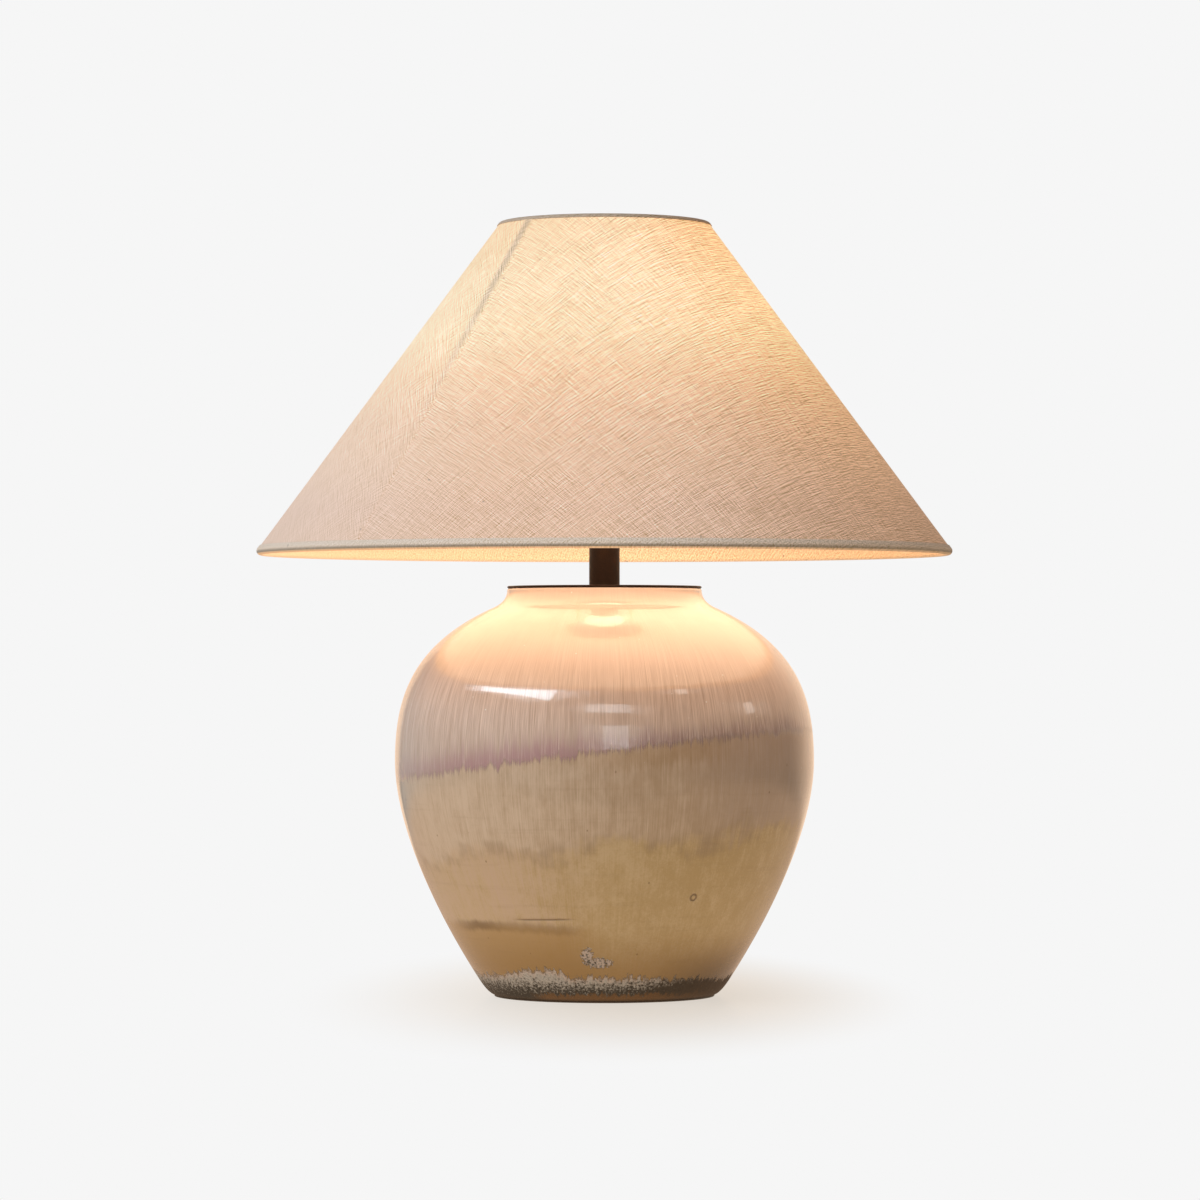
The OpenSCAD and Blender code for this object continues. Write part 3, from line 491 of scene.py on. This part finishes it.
def kilnMarks(at, look, body):
    # a scorched band and a short groove on the left, and a darker foot; gives the colour and the groove
    paint = at.paint
    overBand = at.height - look.bandHeight - at.cloud * 12.0 - at.coarse * 4.0
    body = paint.blend(overBand.smooth(3.0, -3.0) * at.bearing.smooth(4.0, -16.0) * 0.75, body, look.amber)
    band = overBand.inside(-4.0, 2.5, 2.2) * at.degrees.inside(-66.0, -10.0, 5.0)
    body = paint.blend(band * (0.35 + at.degrees.inside(-58.0, -42.0, 8.0) * 0.4), body, look.groove)
    body = paint.blend(at.height.smooth(60.0, 18.0) * 0.85, body, look.ochre)
    groove = (at.height - look.grooveHeight - at.degrees * 0.05).inside(-0.5, 0.5, 0.5)
    groove = groove * at.degrees.inside(-31.0, -12.0, 4.0)
    return paint.blend(groove * 0.75, body, look.groove), groove


def dryCrust(at, look, rightward):
    # crumbs above the foot, grey at the left and darker at the right, and an island; gives colour and place
    paint = at.paint
    overTop = at.height - (look.crustTop + at.degrees.inside(-42.0, -17.0, 7.0) * 5.0 + at.jag * 22.0
                           - rightward * 3.0)
    near = at.apart(*look.tallIsland).atMost(at.apart(*look.wideIsland))
    island = (near - at.crumb * 2.5 - at.jag * 1.4).smooth(1.1, 0.9) * near.smooth(2.0, 1.6)
    lift = (at.height - 13.0).atMost(6.0) * 0.05
    grain = (at.speckle * 1.9 + at.crumb * 1.2 + 0.4 + at.jag * 0.7 + lift - island * 0.26
             - rightward * 0.6).smooth(0.1, 0.7)
    dry = paint.blend(grain, look.crustDark, look.crust)
    dry = paint.blend(overTop.smooth(-4.5, -0.5) * (1.0 - rightward) * grain * 0.7, dry, look.crustEdge)
    bare = (at.height + at.jag * 16.0 + at.speckle * 5.0).smooth(7.0, 5.0) * at.degrees.inside(-34.0, 60.0, 6.0)
    return paint.blend(bare * 0.8, dry, look.strip), overTop.smooth(1.5, -1.0).atLeast(island)


def makeGlaze(values):
    # three glazes that run down in streaks over each other, and a dry crust above the foot
    paint, look = Finish("vase glaze"), SimpleNamespace(**values)
    at = GlazeMap(paint, look)
    rightward = at.bearing.smooth(6.0, 62.0)
    upper, above = upperGlaze(at, look)
    body, groove = kilnMarks(at, look, bodyGlaze(at, look, above))
    dry, crust = dryCrust(at, look, rightward)
    overTop = above.smooth(-1.6, 2.4)
    colour = paint.blend(overTop, body, upper)
    wheelMarks = at.turning.smooth(0.02, 0.3) * at.height.smooth(180.0, 140.0)
    colour = paint.blend(wheelMarks * 0.11, colour, look.groove)
    colour = paint.blend(crust, colour, dry)
    # darker low on the right: partly the glaze's own colour and partly painted shade, away from the light
    colour = paint.blend(rightward * at.height.smooth(50.0, 6.0) * 0.9, colour, look.soot)
    # darker along the very bottom edge
    colour = paint.blend(at.height.smooth(3.4, 1.9) * 0.6, colour, look.soot)

    # tiny painted glints, pin holes and one burst bubble
    glints = paint.cells(at.place, 88.0).smooth(0.06, 0.04) * at.height.smooth(150.0, 190.0)
    colour = paint.blend(glints * 0.7, colour, look.speck)
    pins = paint.cells(paint.join(at.x + 3.1, at.y, at.z * 0.7), 66.0).smooth(0.06, 0.035)
    colour = paint.blend(pins * at.height.smooth(190.0, 150.0) * 0.6, colour, look.groove)
    bubble = at.apart(*look.bubble).inside(1.5, 2.7, 0.5)
    colour = paint.blend(bubble * 0.75, colour, look.groove)

    rough = look.polish + crust * 0.6 + at.cloud * 0.03
    waves = paint.noise(at.place, 26.0, 1.0, 0.4)
    ripple = paint.bump(waves + at.turning * 0.05, look.waveDepth)
    drip = paint.bump(overTop * 0.8 + at.streak * (overTop * 0.16 + 0.03), look.streakDepth, 0.8, Normal=ripple)
    relief = (at.speckle + at.jag * 0.8 + 0.9) * crust - bubble * 0.6 - groove * 0.5
    return paint.surface(baseColor=colour, roughness=rough.atLeast(0.03), coatRoughness=look.coatRough,
                         coatWeight=(1.0 - crust * 0.92) * look.coat, ior=look.ior,
                         normal=paint.bump(relief, look.crustDepth, 0.9, Normal=drip))


def pierce(piece, radius, height, behind):
    # cuts a round hole through the back of a piece
    cutMesh = bpy.data.meshes.new("cord hole")
    work = bmesh.new()
    bmesh.ops.create_cone(work, cap_ends=True, segments=48, radius1=radius, radius2=radius, depth=0.05)
    bmesh.ops.rotate(work, verts=work.verts, matrix=Matrix.Rotation(pi / 2, 3, "X"))
    bmesh.ops.translate(work, verts=work.verts, vec=(0, behind, height))
    work.to_mesh(cutMesh)
    work.free()
    cutter = newObject("cord hole", cutMesh)
    hole = piece.modifiers.new("hole", "BOOLEAN")
    hole.operation, hole.solver, hole.object = "DIFFERENCE", "EXACT", cutter
    pierced = frozen(piece, piece.name)
    piece.modifiers.remove(hole)
    piece.data = pierced
    bpy.data.objects.remove(cutter)


vase = turned("vaseBody", vaseProfile(vaseShape), makeGlaze(glazeLook), segments=288, unevenness=0.35, seed=3.0)
pierce(vase, vaseShape["cordHole"] * mm, vaseShape["cordHeight"] * mm, vaseShape["cordBehind"] * mm)
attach(vase, "base")
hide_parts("vase")
print("vase turned and glazed")


# Shade

shadeShape = {
    "topRadius": 76, "bottomRadius": 249, "topHeight": 555.1, "bottomHeight": 321.1, "fabric": 0.6, "liner": 0.8,
    "wire": 1.6, "tape": 0.7, "bottomBand": 2.6, "topBand": 1.4, "innerBand": 9, "landing": 2.3, "play": 0.1,
    "seamAngle": -44, "overlap": 9, "lapEase": 6, "edgeSink": 0.5, "gap": 0.05,
}
cone = SimpleNamespace(**shadeShape)
slopeRun = cone.bottomRadius - cone.topRadius
slopeDrop = cone.topHeight - cone.bottomHeight
slopeLength = hypot(slopeRun, slopeDrop)
slopeRatio = slopeRun / slopeLength
slopeDown = [slopeRatio, -slopeDrop / slopeLength]
slopeOut = [slopeDrop / slopeLength, slopeRatio]


def onShade(down, out):
    return [cone.topRadius + down * slopeDown[0] + out * slopeOut[0],
            cone.topHeight + down * slopeDown[1] + out * slopeOut[1]]


linenLook = {
    "pale": ink(244, 231, 215), "whiteness": 0.38, "whitenessFall": 0.14,
    # the bulb's light through the cloth, from the low rim to the high one
    "low": 317, "high": 557,
    "glow": [(0.0, (0.54, 0.325, 0.205, 1)), (0.12, (0.555, 0.33, 0.21, 1)), (0.25, (0.61, 0.365, 0.22, 1)),
             (0.38, (0.655, 0.39, 0.22, 1)), (0.52, (0.745, 0.468, 0.252, 1)), (0.64, (0.825, 0.592, 0.337, 1)),
             (0.8, (0.86, 0.64, 0.385, 1)), (1.0, (0.86, 0.60, 0.34, 1))],
    # painted shade: the cloth and its glow are warmer and darker on the right, and the glow also high on the right;
    # painted light: the glow is cooler low on the left, where the window's light falls
    "warm": (1.0, 0.84, 0.70, 1), "warmGlow": (0.95, 0.86, 0.72, 1), "coolGlow": (1.02, 1.17, 1.42, 1),
    "highGlow": (0.95, 0.89, 0.84, 1), "rightDim": 0.46, "rightMost": 0.22, "leftDim": 0.05, "cloudy": 0.08,
    # a dark thread is tan, so blue changes more than red; the shares are for the cloth and for its glow
    "threadTint": (0.9, 1.0, 1.4), "threadShare": (2.0, 0.8), "threadContrast": 0.8, "fleckDark": 0.4,
    # threads in a metre along them and across them, and how far off each one's neighbour is
    "threadLong": 110, "threadWide": 1500, "neighbour": 0.0004, "pitch": 0.0007, "biasAngle": 131,
    "seamWidth": 6, "seamDark": 0.2, "seamGlow": (0.50, 0.35, 0.25, 1), "relief": 0.00028, "rough": 0.9,
}
hemLook = dict(
    linenLook, pale=ink(244, 230, 212), whiteness=0.74, whitenessFall=0.0, fold=ink(120, 102, 84),
    topStain=(1.0, 0.84, 0.74, 1), rightDim=0.6, leftDim=0.0, threadContrast=0.6,
    foldGlow=(0.0, 0.0, 0.0, 1), innerGlow=(0.52, 0.27, 0.12, 1),
    glow=[(0.0, (0.27, 0.185, 0.135, 1)), (0.5, (0.04, 0.024, 0.014, 1))])


class ClothMap(Round):
    # places on the shade: u and v lie in the flat cut of the cloth, and rise is 0 at the lower rim and 1 at the upper
    def __init__(self, paint, look):
        super().__init__(paint)
        self.u, self.v, _ = paint.split(paint.place("UV"))
        self.flat = paint.join(self.u, self.v, 0.0)
        self.radius = (self.x * self.x + self.y * self.y) ** 0.5 * perMetre
        self.rise = (self.height - look.low) / (look.high - look.low)


def threadLines(at, along, across, long, wide, seed):
    # stripes of uneven threads
    return at.paint.swing(at.paint.join(along * long, across * wide, seed), 1.0, 0.0)


def pairedThreads(at, look, along, across, seed):
    # each fine thread is set against its neighbour, so that no cloudy patches are left
    long, wide = look.threadLong, look.threadWide
    return threadLines(at, along, across, long, wide, seed) - threadLines(
        at, along, across + look.neighbour, long, wide, seed)


def linenThreads(at, look):
    # warp, weft, the thicker slubs of both, and a grain
    warp = pairedThreads(at, look, at.u, at.v, 0.3)
    weft = pairedThreads(at, look, at.v, at.u, 7.3)
    slubs = threadLines(at, at.u, at.v, 50, 1150, 3.3) * 0.45 + threadLines(at, at.v, at.u, 60, 1150, 5.3) * 0.4
    return warp * 1.45 + weft * 1.3 + slubs + at.paint.swing(at.flat, 1000.0, 1.0, 0.6)


def tapeThreads(at, look):
    return at.paint.swing(at.flat, 900.0, 2.0, 0.7) * 2.4 + pairedThreads(at, look, at.u, at.v, 0.3) * 0.6


def seamAndSideLight(at, look, lit, glow):
    # the double cloth along the seam is darker; the glow gets painted shade on the right and painted light low on the
    # left
    paint = at.paint
    across = (at.angle - radians(cone.seamAngle)) * at.radius
    half = look.seamWidth / 2
    double = across.inside(-half, half, half * 0.9)
    lit = lit * (1.0 - double * at.rise.smooth(0.3, 1.0) * look.seamDark)
    glow = paint.blend(double * at.rise.smooth(0.2, 0.9) * 0.4, glow, look.seamGlow)
    glow = paint.tint(at.sine.smooth(0.15, 1.0), glow, look.warmGlow)
    glow = paint.tint(at.sine.smooth(-0.3, -1.0) * at.rise.smooth(1.0, 0.3), glow, look.coolGlow)
    return lit, paint.tint(at.sine.smooth(0.0, 0.7) * at.rise.smooth(0.55, 0.95), glow, look.highGlow)


def foldMarks(at, look, colour, glow):
    # the turned-in side of the tape faces the bulb, and its fold lies in shadow
    paint = at.paint
    across = at.radius - cone.topRadius
    up = at.height - cone.topHeight
    out = across * slopeOut[0] + up * slopeOut[1]
    down = across * slopeDown[0] + up * slopeDown[1]
    fold = (down - slopeLength).atLeast(-down).smooth(1.0, 2.8)
    colour = paint.blend(fold * 0.6, colour, look.fold)
    # the top tape is tinted warmer
    colour = paint.tint(at.rise.smooth(0.7, 0.9), colour, look.topStain)
    glow = paint.blend(fold * 0.9, glow, look.foldGlow)
    return colour, paint.blend(out.smooth(-1.0, -2.0), glow, look.innerGlow)


def makeLinen(name, values, isTape=False):
    # the pattern lies in the flat cut of the cloth, so it turns round the cone as real threads do
    paint, look = Finish(name), SimpleNamespace(**values)
    at = ClothMap(paint, look)
    threads = (tapeThreads if isTape else linenThreads)(at, look)
    fleck = paint.cells(paint.join(at.u, at.v * 0.5, 0.0), 62.0).smooth(0.055, 0.03)
    # painted light: the threads stand out more at the top and on the right, where they show against the light
    contrast = (0.8 + at.rise.smooth(0.15, 0.45) * 0.4 + at.sine * 0.5) * look.threadContrast
    bare, uneven = [[(1.0 + threads * contrast * amount * share) * (1.0 - fleck * look.fleckDark)
                     for amount in look.threadTint] for share in look.threadShare]
    # painted light and shade on the glow: dimmer low on the right, brighter high on the right, a little dimmer on the
    # left
    rightward = at.sine.atLeast(0.0) * (at.rise * 0.9 - look.rightDim).atMost(look.rightMost)
    lit = (1.0 + paint.swing(at.flat, 22.0, 3.0) * look.cloudy + rightward
           + at.sine.atMost(0.0) * look.leftDim)
    # the cloth is painted darker towards the top, where the painted glow is strongest
    white = look.whiteness - at.rise.smooth(0.4, 0.9) * look.whitenessFall
    # painted shade: the cloth is warmer and darker on the right
    colour = paint.tint(at.sine.smooth(0.15, 1.0), look.pale, look.warm)
    colour = paint.tint(1.0, colour, paint.join(*[(level * white).atMost(1.0) for level in bare]))
    glow = paint.ramp(at.rise, look.glow)
    if isTape:
        colour, glow = foldMarks(at, look, colour, glow)
    else:
        lit, glow = seamAndSideLight(at, look, lit, glow)
    glow = paint.tint(1.0, glow, paint.join(*[level * lit for level in uneven]))
    # plain weave: threads go over and under each other by turns
    weave = (at.u * (pi / look.pitch)).sin() * (at.v * (pi / look.pitch)).sin()
    relief = paint.bump(weave * 0.4 + threads * 0.5, look.relief, 0.9)
    return paint.surface(baseColor=colour, roughness=look.rough, sheenWeight=0.15, emissionColor=glow,
                         emissionStrength=1.0, normal=relief)


def flatPlace(angle, reach):
    # a place in the flat cut, from the angle round the cone and the distance from its apex
    turn = angle * slopeRatio - radians(linenLook["biasAngle"])
    return reach * cos(turn), reach * sin(turn)


def flatMap(mesh):
    # maps each corner to its place in the flat cut; a face at the back or the seam keeps its corners together
    apexHeight = (cone.topHeight + cone.topRadius * slopeDrop / slopeRun) * mm
    start = radians(cone.seamAngle)
    layer = mesh.uv_layers.get("UVMap") or mesh.uv_layers.new(name="UVMap")
    for face in mesh.polygons:
        centre = atan2(face.center[0], -face.center[1])
        for corner in face.loop_indices:
            x, y, z = mesh.vertices[mesh.loops[corner].vertex_index].co
            angle = atan2(x, -y)
            while angle - centre > pi:
                angle -= 2 * pi
            while centre - angle > pi:
                angle += 2 * pi
            angle = angle + 2 * pi if centre < start else angle
            layer.data[corner].uv = flatPlace(angle, hypot(hypot(x, y), apexHeight - z))


def shadeSheet(name, material, segments=300, levels=28):
    # one flat cut rolled into a cone, whose far end eases up and laps over its start
    outer, inner, flat = [], [], []
    start = radians(cone.seamAngle)
    lap, ease, sink = cone.overlap, cone.lapEase, cone.edgeSink
    # the last columns stand close together, at these distances from the far end
    closeColumns = [lap + ease, lap + 4, lap + 2, lap, lap / 2, 1.0, 0.0]
    body = segments - len(closeColumns)
    for i in range(segments + 1):
        for j in range(levels + 1):
            down = slopeLength * j / levels
            radius = onShade(down, 0)[0]
            full = 2 * pi * radius + lap
            left = full - (full - closeColumns[0] - 3) * i / body if i <= body else closeColumns[i - body - 1]
            angle = start + (full - lap / 2 - left) / radius
            rise = (cone.fabric + cone.gap) * min(1.0, max(0.0, lap + ease - left) / ease)
            flat.append(flatPlace(angle, radius / slopeRatio * mm))
            for store, depth in ((outer, -sink * max(0.0, 1.0 - left)), (inner, -cone.fabric)):
                r, h = onShade(down, depth + rise)
                store.append((r * mm * sin(angle), -r * mm * cos(angle), h * mm))
    row = levels + 1
    half = len(outer)
    faces = []
    for a in [i * row + j for i in range(segments) for j in range(levels)]:
        b = a + row
        faces += [(a, a + 1, b + 1, b), (half + b, half + b + 1, half + a + 1, half + a)]
    rims = [(i * row + j, (i + 1) * row + j) for i in range(segments) for j in (0, levels)]
    rims += [(end + j, end + j + 1) for end in (0, segments * row) for j in range(levels)]
    faces += [(a, b, half + b, half + a) for a, b in rims]
    mesh = newMesh(name, outer + inner, [], faces)
    closeMesh(mesh)
    mesh.set_sharp_from_angle(angle=radians(50))
    layer = mesh.uv_layers.new(name="UVMap")
    for corner, loop in enumerate(mesh.loops):
        layer.data[corner].uv = flat[loop.vertex_index % half]
    return newObject(name, mesh, material)


def hemProfile(side, band):
    # the tape's path over the edge and round the wire, and back up the liner
    edge = slopeLength if side > 0 else 0
    lining = cone.fabric + cone.liner
    wireDepth = lining + cone.gap + cone.wire
    wrap = cone.wire + cone.play
    fold = (wireDepth + wrap) / 2
    landing = [2 * cone.wire + cone.landing, -lining]
    reach = [landing[0], landing[1] + wireDepth]
    leave = degrees(atan2(reach[1], reach[0]) - acos(wrap / hypot(*reach)))
    path = [[band * (1 - i / 4), 0] for i in range(4)]
    path += arc([0, -fold], fold, 90, 270, 24)
    path += arc([0, -wireDepth], wrap, -90, leave, 6, 1)
    path += [landing, [cone.innerBand, -lining]]
    under = [onShade(edge - side * a, d) for a, d in path]
    over = offset(under, -side * cone.tape)
    first = [onShade(edge - side * (band + cone.tape / 2), cone.tape / 2)]
    last = [onShade(edge - side * (cone.innerBand + cone.tape / 2), -lining - cone.tape / 2)]
    return first + over + last + under[::-1] + first


linerLook = {
    "cloth": ink(248, 240, 226), "dust": ink(238, 226, 206), "rim": (0.46, 0.20, 0.085, 1),
    "inside": (1.1, 0.72, 0.47, 1), "rimHeight": 333, "insideHeight": 337,
}


def makeLiner(values):
    # a painted glow for the bulb's light: brighter above the rim, where the bulb lights it squarely, and over the
    # front half
    paint, look = Finish("shade liner"), SimpleNamespace(**values)
    place = paint.place()
    _, y, z = paint.split(place)
    dust = paint.noise(place, 60.0, 3.0, 0.6)
    colour = paint.blend(dust * 0.4, look.cloth, look.dust)
    high = (z * perMetre).smooth(look.rimHeight, look.insideHeight)
    glow = paint.blend(high.atLeast(y.smooth(0.06, -0.08)), look.rim, look.inside)
    return paint.surface(baseColor=colour, roughness=0.55, emissionColor=glow, emissionStrength=1.0,
                         normal=paint.bump(dust, 0.0002, 0.4))


hemCloth = makeLinen("hem tape", hemLook, True)
shade = shadeSheet("shadeCover", makeLinen("shade linen", linenLook))
linerProfile = [onShade(slopeLength * i / 24, -cone.fabric) for i in range(25)]
linerProfile += [onShade(slopeLength * i / 24, -cone.fabric - cone.liner) for i in range(24, -1, -1)]
linerProfile.append(linerProfile[0])
liner = turned("shadeLiner", linerProfile, makeLiner(linerLook), segments=240)
topHem = turned("topHem", hemProfile(-1, cone.topBand), hemCloth, segments=240,
                unevenness=0.25, seed=5.0)
bottomHem = turned("bottomHem", hemProfile(1, cone.bottomBand), hemCloth, segments=360,
                   unevenness=0.3, seed=8.0)
for piece, node, slot in ((shade, "shade_fabric", "linen"), (liner, "shade_liner", "liner"),
                          (topHem, "shade_top_hem", "hem_tape"), (bottomHem, "shade_bottom_hem", "hem_tape")):
    if slot == "hem_tape":
        flatMap(piece.data)
    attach(piece, "shade")
    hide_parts(node)
print("shade covered")


# Finishes of the metal, plastic and glass nodes

def brushed(name, colour, dark, rough):
    # metal with fine marks round the Z axis
    paint = Finish(name)
    place = paint.place()
    x, y, z = paint.split(place)
    lines = paint.swing(paint.join(x * 40.0, y * 40.0, z * 900.0), 1.0, 3.0, 0.6)
    cloud = paint.swing(place, 45.0, 4.0, 0.6)
    tone = paint.blend((cloud * 1.3 + 0.45 + lines * 0.5).smooth(0.1, 0.9) * 0.5, colour, dark)
    return paint.surface(baseColor=tone, metallic=1.0, roughness=rough + cloud * 0.15 + lines * 0.12,
                         normal=paint.bump(lines, 0.00004, 0.5))


def coated(name, colour, worn, rough, grain=700.0, bumpDepth=0.00005, coat=0.15, shine=0.5):
    # sprayed paint or moulded plastic, with a fine orange peel and slight rubbing
    paint = Finish(name)
    place = paint.place()
    peel = paint.swing(place, grain, 2.0, 0.5)
    cloud = paint.swing(place, 38.0, 3.0, 0.6)
    tone = paint.blend((cloud * 1.6 + 0.4).smooth(0.2, 1.0) * 0.5 + peel * 0.6, colour, worn)
    return paint.surface(baseColor=tone, roughness=rough + cloud * 0.14, coatWeight=coat, coatRoughness=0.2,
                         shine=shine, normal=paint.bump(peel, bumpDepth, 0.6))


def fuzzy(name, colour, dark):
    paint = Finish(name)
    place = paint.place()
    fibre = paint.swing(place, 900.0, 4.0, 0.7)
    cloud = paint.swing(place, 80.0, 3.0, 0.6)
    return paint.surface(baseColor=paint.blend((fibre * 1.4 + 0.5).smooth(0.1, 0.9), dark, colour),
                         roughness=0.95 + cloud * 0.05, sheenWeight=0.3, normal=paint.bump(fibre, 0.0004, 0.9))


def glowing(name, colour, light, strength):
    paint = Finish(name)
    rough = 0.25 + paint.noise(paint.place(), 70.0) * 0.1
    return paint.surface(baseColor=colour, roughness=rough, emissionColor=light, emissionStrength=strength)


finishes = {
    "dark_bronze": coated("dark bronze", ink(30, 14, 3), ink(58, 34, 12), 0.5, 900.0, 0.00004, 0.0, 0.2),
    "brass": brushed("satin brass", ink(214, 176, 106), ink(150, 112, 58), 0.3),
    "zinc_steel": brushed("zinc plated steel", ink(196, 196, 190), ink(140, 140, 132), 0.36),
    "aluminium": brushed("rolled aluminium", ink(226, 226, 222), ink(170, 168, 160), 0.28),
    "white_metal": coated("white wire", ink(236, 232, 222), ink(206, 200, 186), 0.4),
    "black_plastic": coated("black plastic", ink(24, 22, 21), ink(44, 41, 38), 0.32),
    "brown_plastic": coated("brown plastic", ink(78, 46, 28), ink(104, 66, 42), 0.38),
    "black_rubber": coated("black rubber", ink(30, 29, 28), ink(52, 50, 47), 0.72, 500.0, 0.0001, 0.0),
    "insulating_paper": coated("insulating paper", ink(186, 158, 118), ink(150, 122, 86), 0.85, 800.0, 0.00015, 0.0),
    "black_glass": coated("black glass", ink(18, 18, 22), ink(30, 30, 36), 0.12, 300.0, 0.00002, 0.6),
    "opal_glass": glowing("opal glass", ink(250, 244, 232), (1.0, 0.68, 0.46, 1.0), 3.8),
    "filament": glowing("filament", ink(250, 214, 120), (1.0, 0.6, 0.25, 1.0), 10.0),
}
slotOf = {part["node"]: part["material_slot"] for part in frame["record"]["subparts"]}
for name, node in frame["nodes"].items():
    material = finishes.get(slotOf.get(name))
    if material:
        for place in node.material_slots:
            place.material = material
print("nodes finished")


# Felt under the foot

feltShape = {"inner": 72.8, "outer": 79.2, "thick": 1.5, "round": 0.35}
feltMaterial = fuzzy("felt", ink(104, 84, 66), ink(62, 48, 38))
inner, outer, thick, edge = (feltShape[key] for key in ("inner", "outer", "thick", "round"))
felt = turned("footFelt", [[inner, edge], [inner + edge, 0], [outer - edge, 0], [outer, edge], [outer, thick - edge],
                           [outer - edge, thick], [inner + edge, thick], [inner, thick - edge], [inner, edge]],
              feltMaterial)
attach(felt, "base")
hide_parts("foot_felt")


# Threads

threadShape = {
    "studThread": {"body": "shade", "radius": 3.0, "base": 537.7, "height": 10.5, "pitch": 0.95, "ridge": 0.32},
    "pipeThreadLow": {"body": "base", "radius": 4.62, "base": 8.4, "height": 2.2, "pitch": 0.94, "ridge": 0.32},
}
for name, shape in threadShape.items():
    values = {key.title(): shape[key] * mm for key in ("radius", "height", "pitch", "ridge", "base")}
    point = newMesh(name + " start", [(0, 0, 0)])
    threadMesh = applyTree(name, point, threadTree, dict(values, Material=finishes["brass"]))
    closeMesh(threadMesh, doubles)
    thread = newObject(name, threadMesh)
    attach(thread, shape["body"])
print("felt and threads added")


# Floor, light and camera

studio = {
    "camera": (-0.0032, -3.5, 0.2453), "aim": (-0.0032, 0.0, 0.2846), "lens": 145.74, "sensor": 36.0,
    "floorHalf": 6, "lampAim": (0, 0, 0.25),
    # pool is the colour of the painted shadow under the lamp; poolWide and poolDeep are its reach in metres
    "white": 0.9216, "pool": (0.80, 0.735, 0.66, 1.0), "poolWide": 0.235, "poolDeep": 0.62,
    "catching": 0.15, "ambient": 0.14, "backdrop": (1.0, 0.72, 0.52, 1.0),
    "bounce": (0.88, 0.75, 0.56, 1.0), "mirrored": (0.55, 0.38, 0.27, 1.0),
    "beyond": (0.30, 0.22, 0.17, 1.0), "wall": 0.34,
    # turn and rise in degrees, distance, width and height in metres, watts, and colour
    "lamps": {
        "leftWindow": (-58, 39, 3.0, (2.3, 0.66), 48, (0.76, 0.89, 1.0)),
        "frontWindow": (2.3, 27, 4.6, (1.85, 0.5), 8, (0.86, 0.94, 1.0)),
        "frontPane": (6, 9, 4.6, (1.1, 0.95), 8, (0.86, 0.94, 1.0)),
        "rightPane": (50, 38, 3.0, (0.3, 0.4), 1.5, (1.0, 0.97, 0.92)),
        "sidePane": (90, 18, 3.0, (0.35, 0.3), 1.0, (1.0, 0.97, 0.92)),
    },
}


def roomLight(paint, across, back):
    # bright behind the lamp, as a lit backdrop is, with a thin dark edge on its left
    left = across.smooth(0.05, -0.05)
    wall = paint.blend(left * back.smooth(0.1, 0.5), grey(studio["ambient"]), grey(studio["wall"]))
    lit = back.smooth(0.45, 0.95) * (1.0 - left) + back.smooth(0.885, 0.915) * left
    thin = back.inside(0.862, 0.876, 0.006) * left
    return paint.blend(thin * 0.8, paint.blend(lit, wall, studio["backdrop"]), grey(0.02))


def makeFloor():
    # white for the camera, with a painted warm shadow near the lamp, stronger on the right; the lamp's own light
    # comes back from it warm, and near the lamp it takes a shadow
    paint = Finish("studio floor")
    x, y, _ = paint.split(paint.place())
    distance = (x * x + y * y) ** 0.5
    seen, mirrored = paint.ray("Camera"), paint.ray("Glossy")
    reach = ((x / studio["poolWide"]) ** 2.0 + (y / studio["poolDeep"]) ** 2.0) ** 0.5
    near = (reach.smooth(1.0, 0.15) * (1.0 + x * 2.4)).atMost(1.0)
    room = roomLight(paint, x / distance, y / distance)
    tableTop = paint.blend(y.smooth(-0.475, -0.455), studio["beyond"], studio["mirrored"])
    table = paint.blend(mirrored, studio["bounce"], tableTop)
    thrown = paint.blend(distance.smooth(1.3, 0.6), room, table)
    # the camera sees the painted shadow near the lamp
    shown = paint.blend(near, grey(studio["white"]), studio["pool"])
    lit = paint.node("ShaderNodeBsdfPrincipled", None,
                     {"Base Color": grey(0.93), "Roughness": 0.25, "Specular IOR Level": 0.4})
    plain = paint.node("ShaderNodeEmission", None, {"Color": paint.blend(seen, thrown, shown), "Strength": 1.0})
    mixed = paint.node("ShaderNodeMixShader", None,
                       {0: 1.0 - near * studio["catching"], 1: lit.outputs[0], 2: plain.outputs[0]})
    paint.tree.links.new(mixed.outputs[0], paint.output.inputs[0])
    return paint.material


def makeWorld():
    # plain for the camera; every other ray meets the room
    paint = Finish("studio room", "world")
    x, y, _ = paint.split(paint.place("Generated"))
    seen = paint.ray("Camera").atLeast(paint.ray("Transmission"))
    room = roomLight(paint, x, y)
    plain = paint.node("ShaderNodeBackground", None,
                       {"Color": paint.blend(seen, room, grey(studio["white"])), "Strength": 1.0})
    paint.tree.links.new(plain.outputs[0], paint.output.inputs[0])
    return paint.material


half = studio["floorHalf"]
corners = [(-half, -half, 0), (half, -half, 0), (half, half, 0), (-half, half, 0)]
floor = newObject("floor", newMesh("floor", corners, [], [(0, 1, 2, 3)]), makeFloor())
bpy.context.scene.world = makeWorld()

for name, (turn, rise, far, size, watts, colour) in studio["lamps"].items():
    data = bpy.data.lights.new(name, "AREA")
    data.shape, data.size, data.size_y = "RECTANGLE", *size
    data.energy, data.color = watts, colour
    light = newObject(name, data)
    turn, rise = radians(turn), radians(rise)
    away = Vector((sin(turn) * cos(rise), -cos(turn) * cos(rise), sin(rise)))
    light.location = Vector(studio["lampAim"]) + away * far
    light.rotation_euler = away.to_track_quat("Z", "Y").to_euler()

cameraData = bpy.data.cameras.new("camera")
cameraData.sensor_width, cameraData.lens = studio["sensor"], studio["lens"]
camera = newObject("camera", cameraData)
camera.location = studio["camera"]
camera.rotation_euler = (Vector(studio["aim"]) - Vector(studio["camera"])).to_track_quat("-Z", "Y").to_euler()
bpy.context.scene.camera = camera
bpy.context.scene.view_settings.view_transform = "Standard"
print("studio ready")
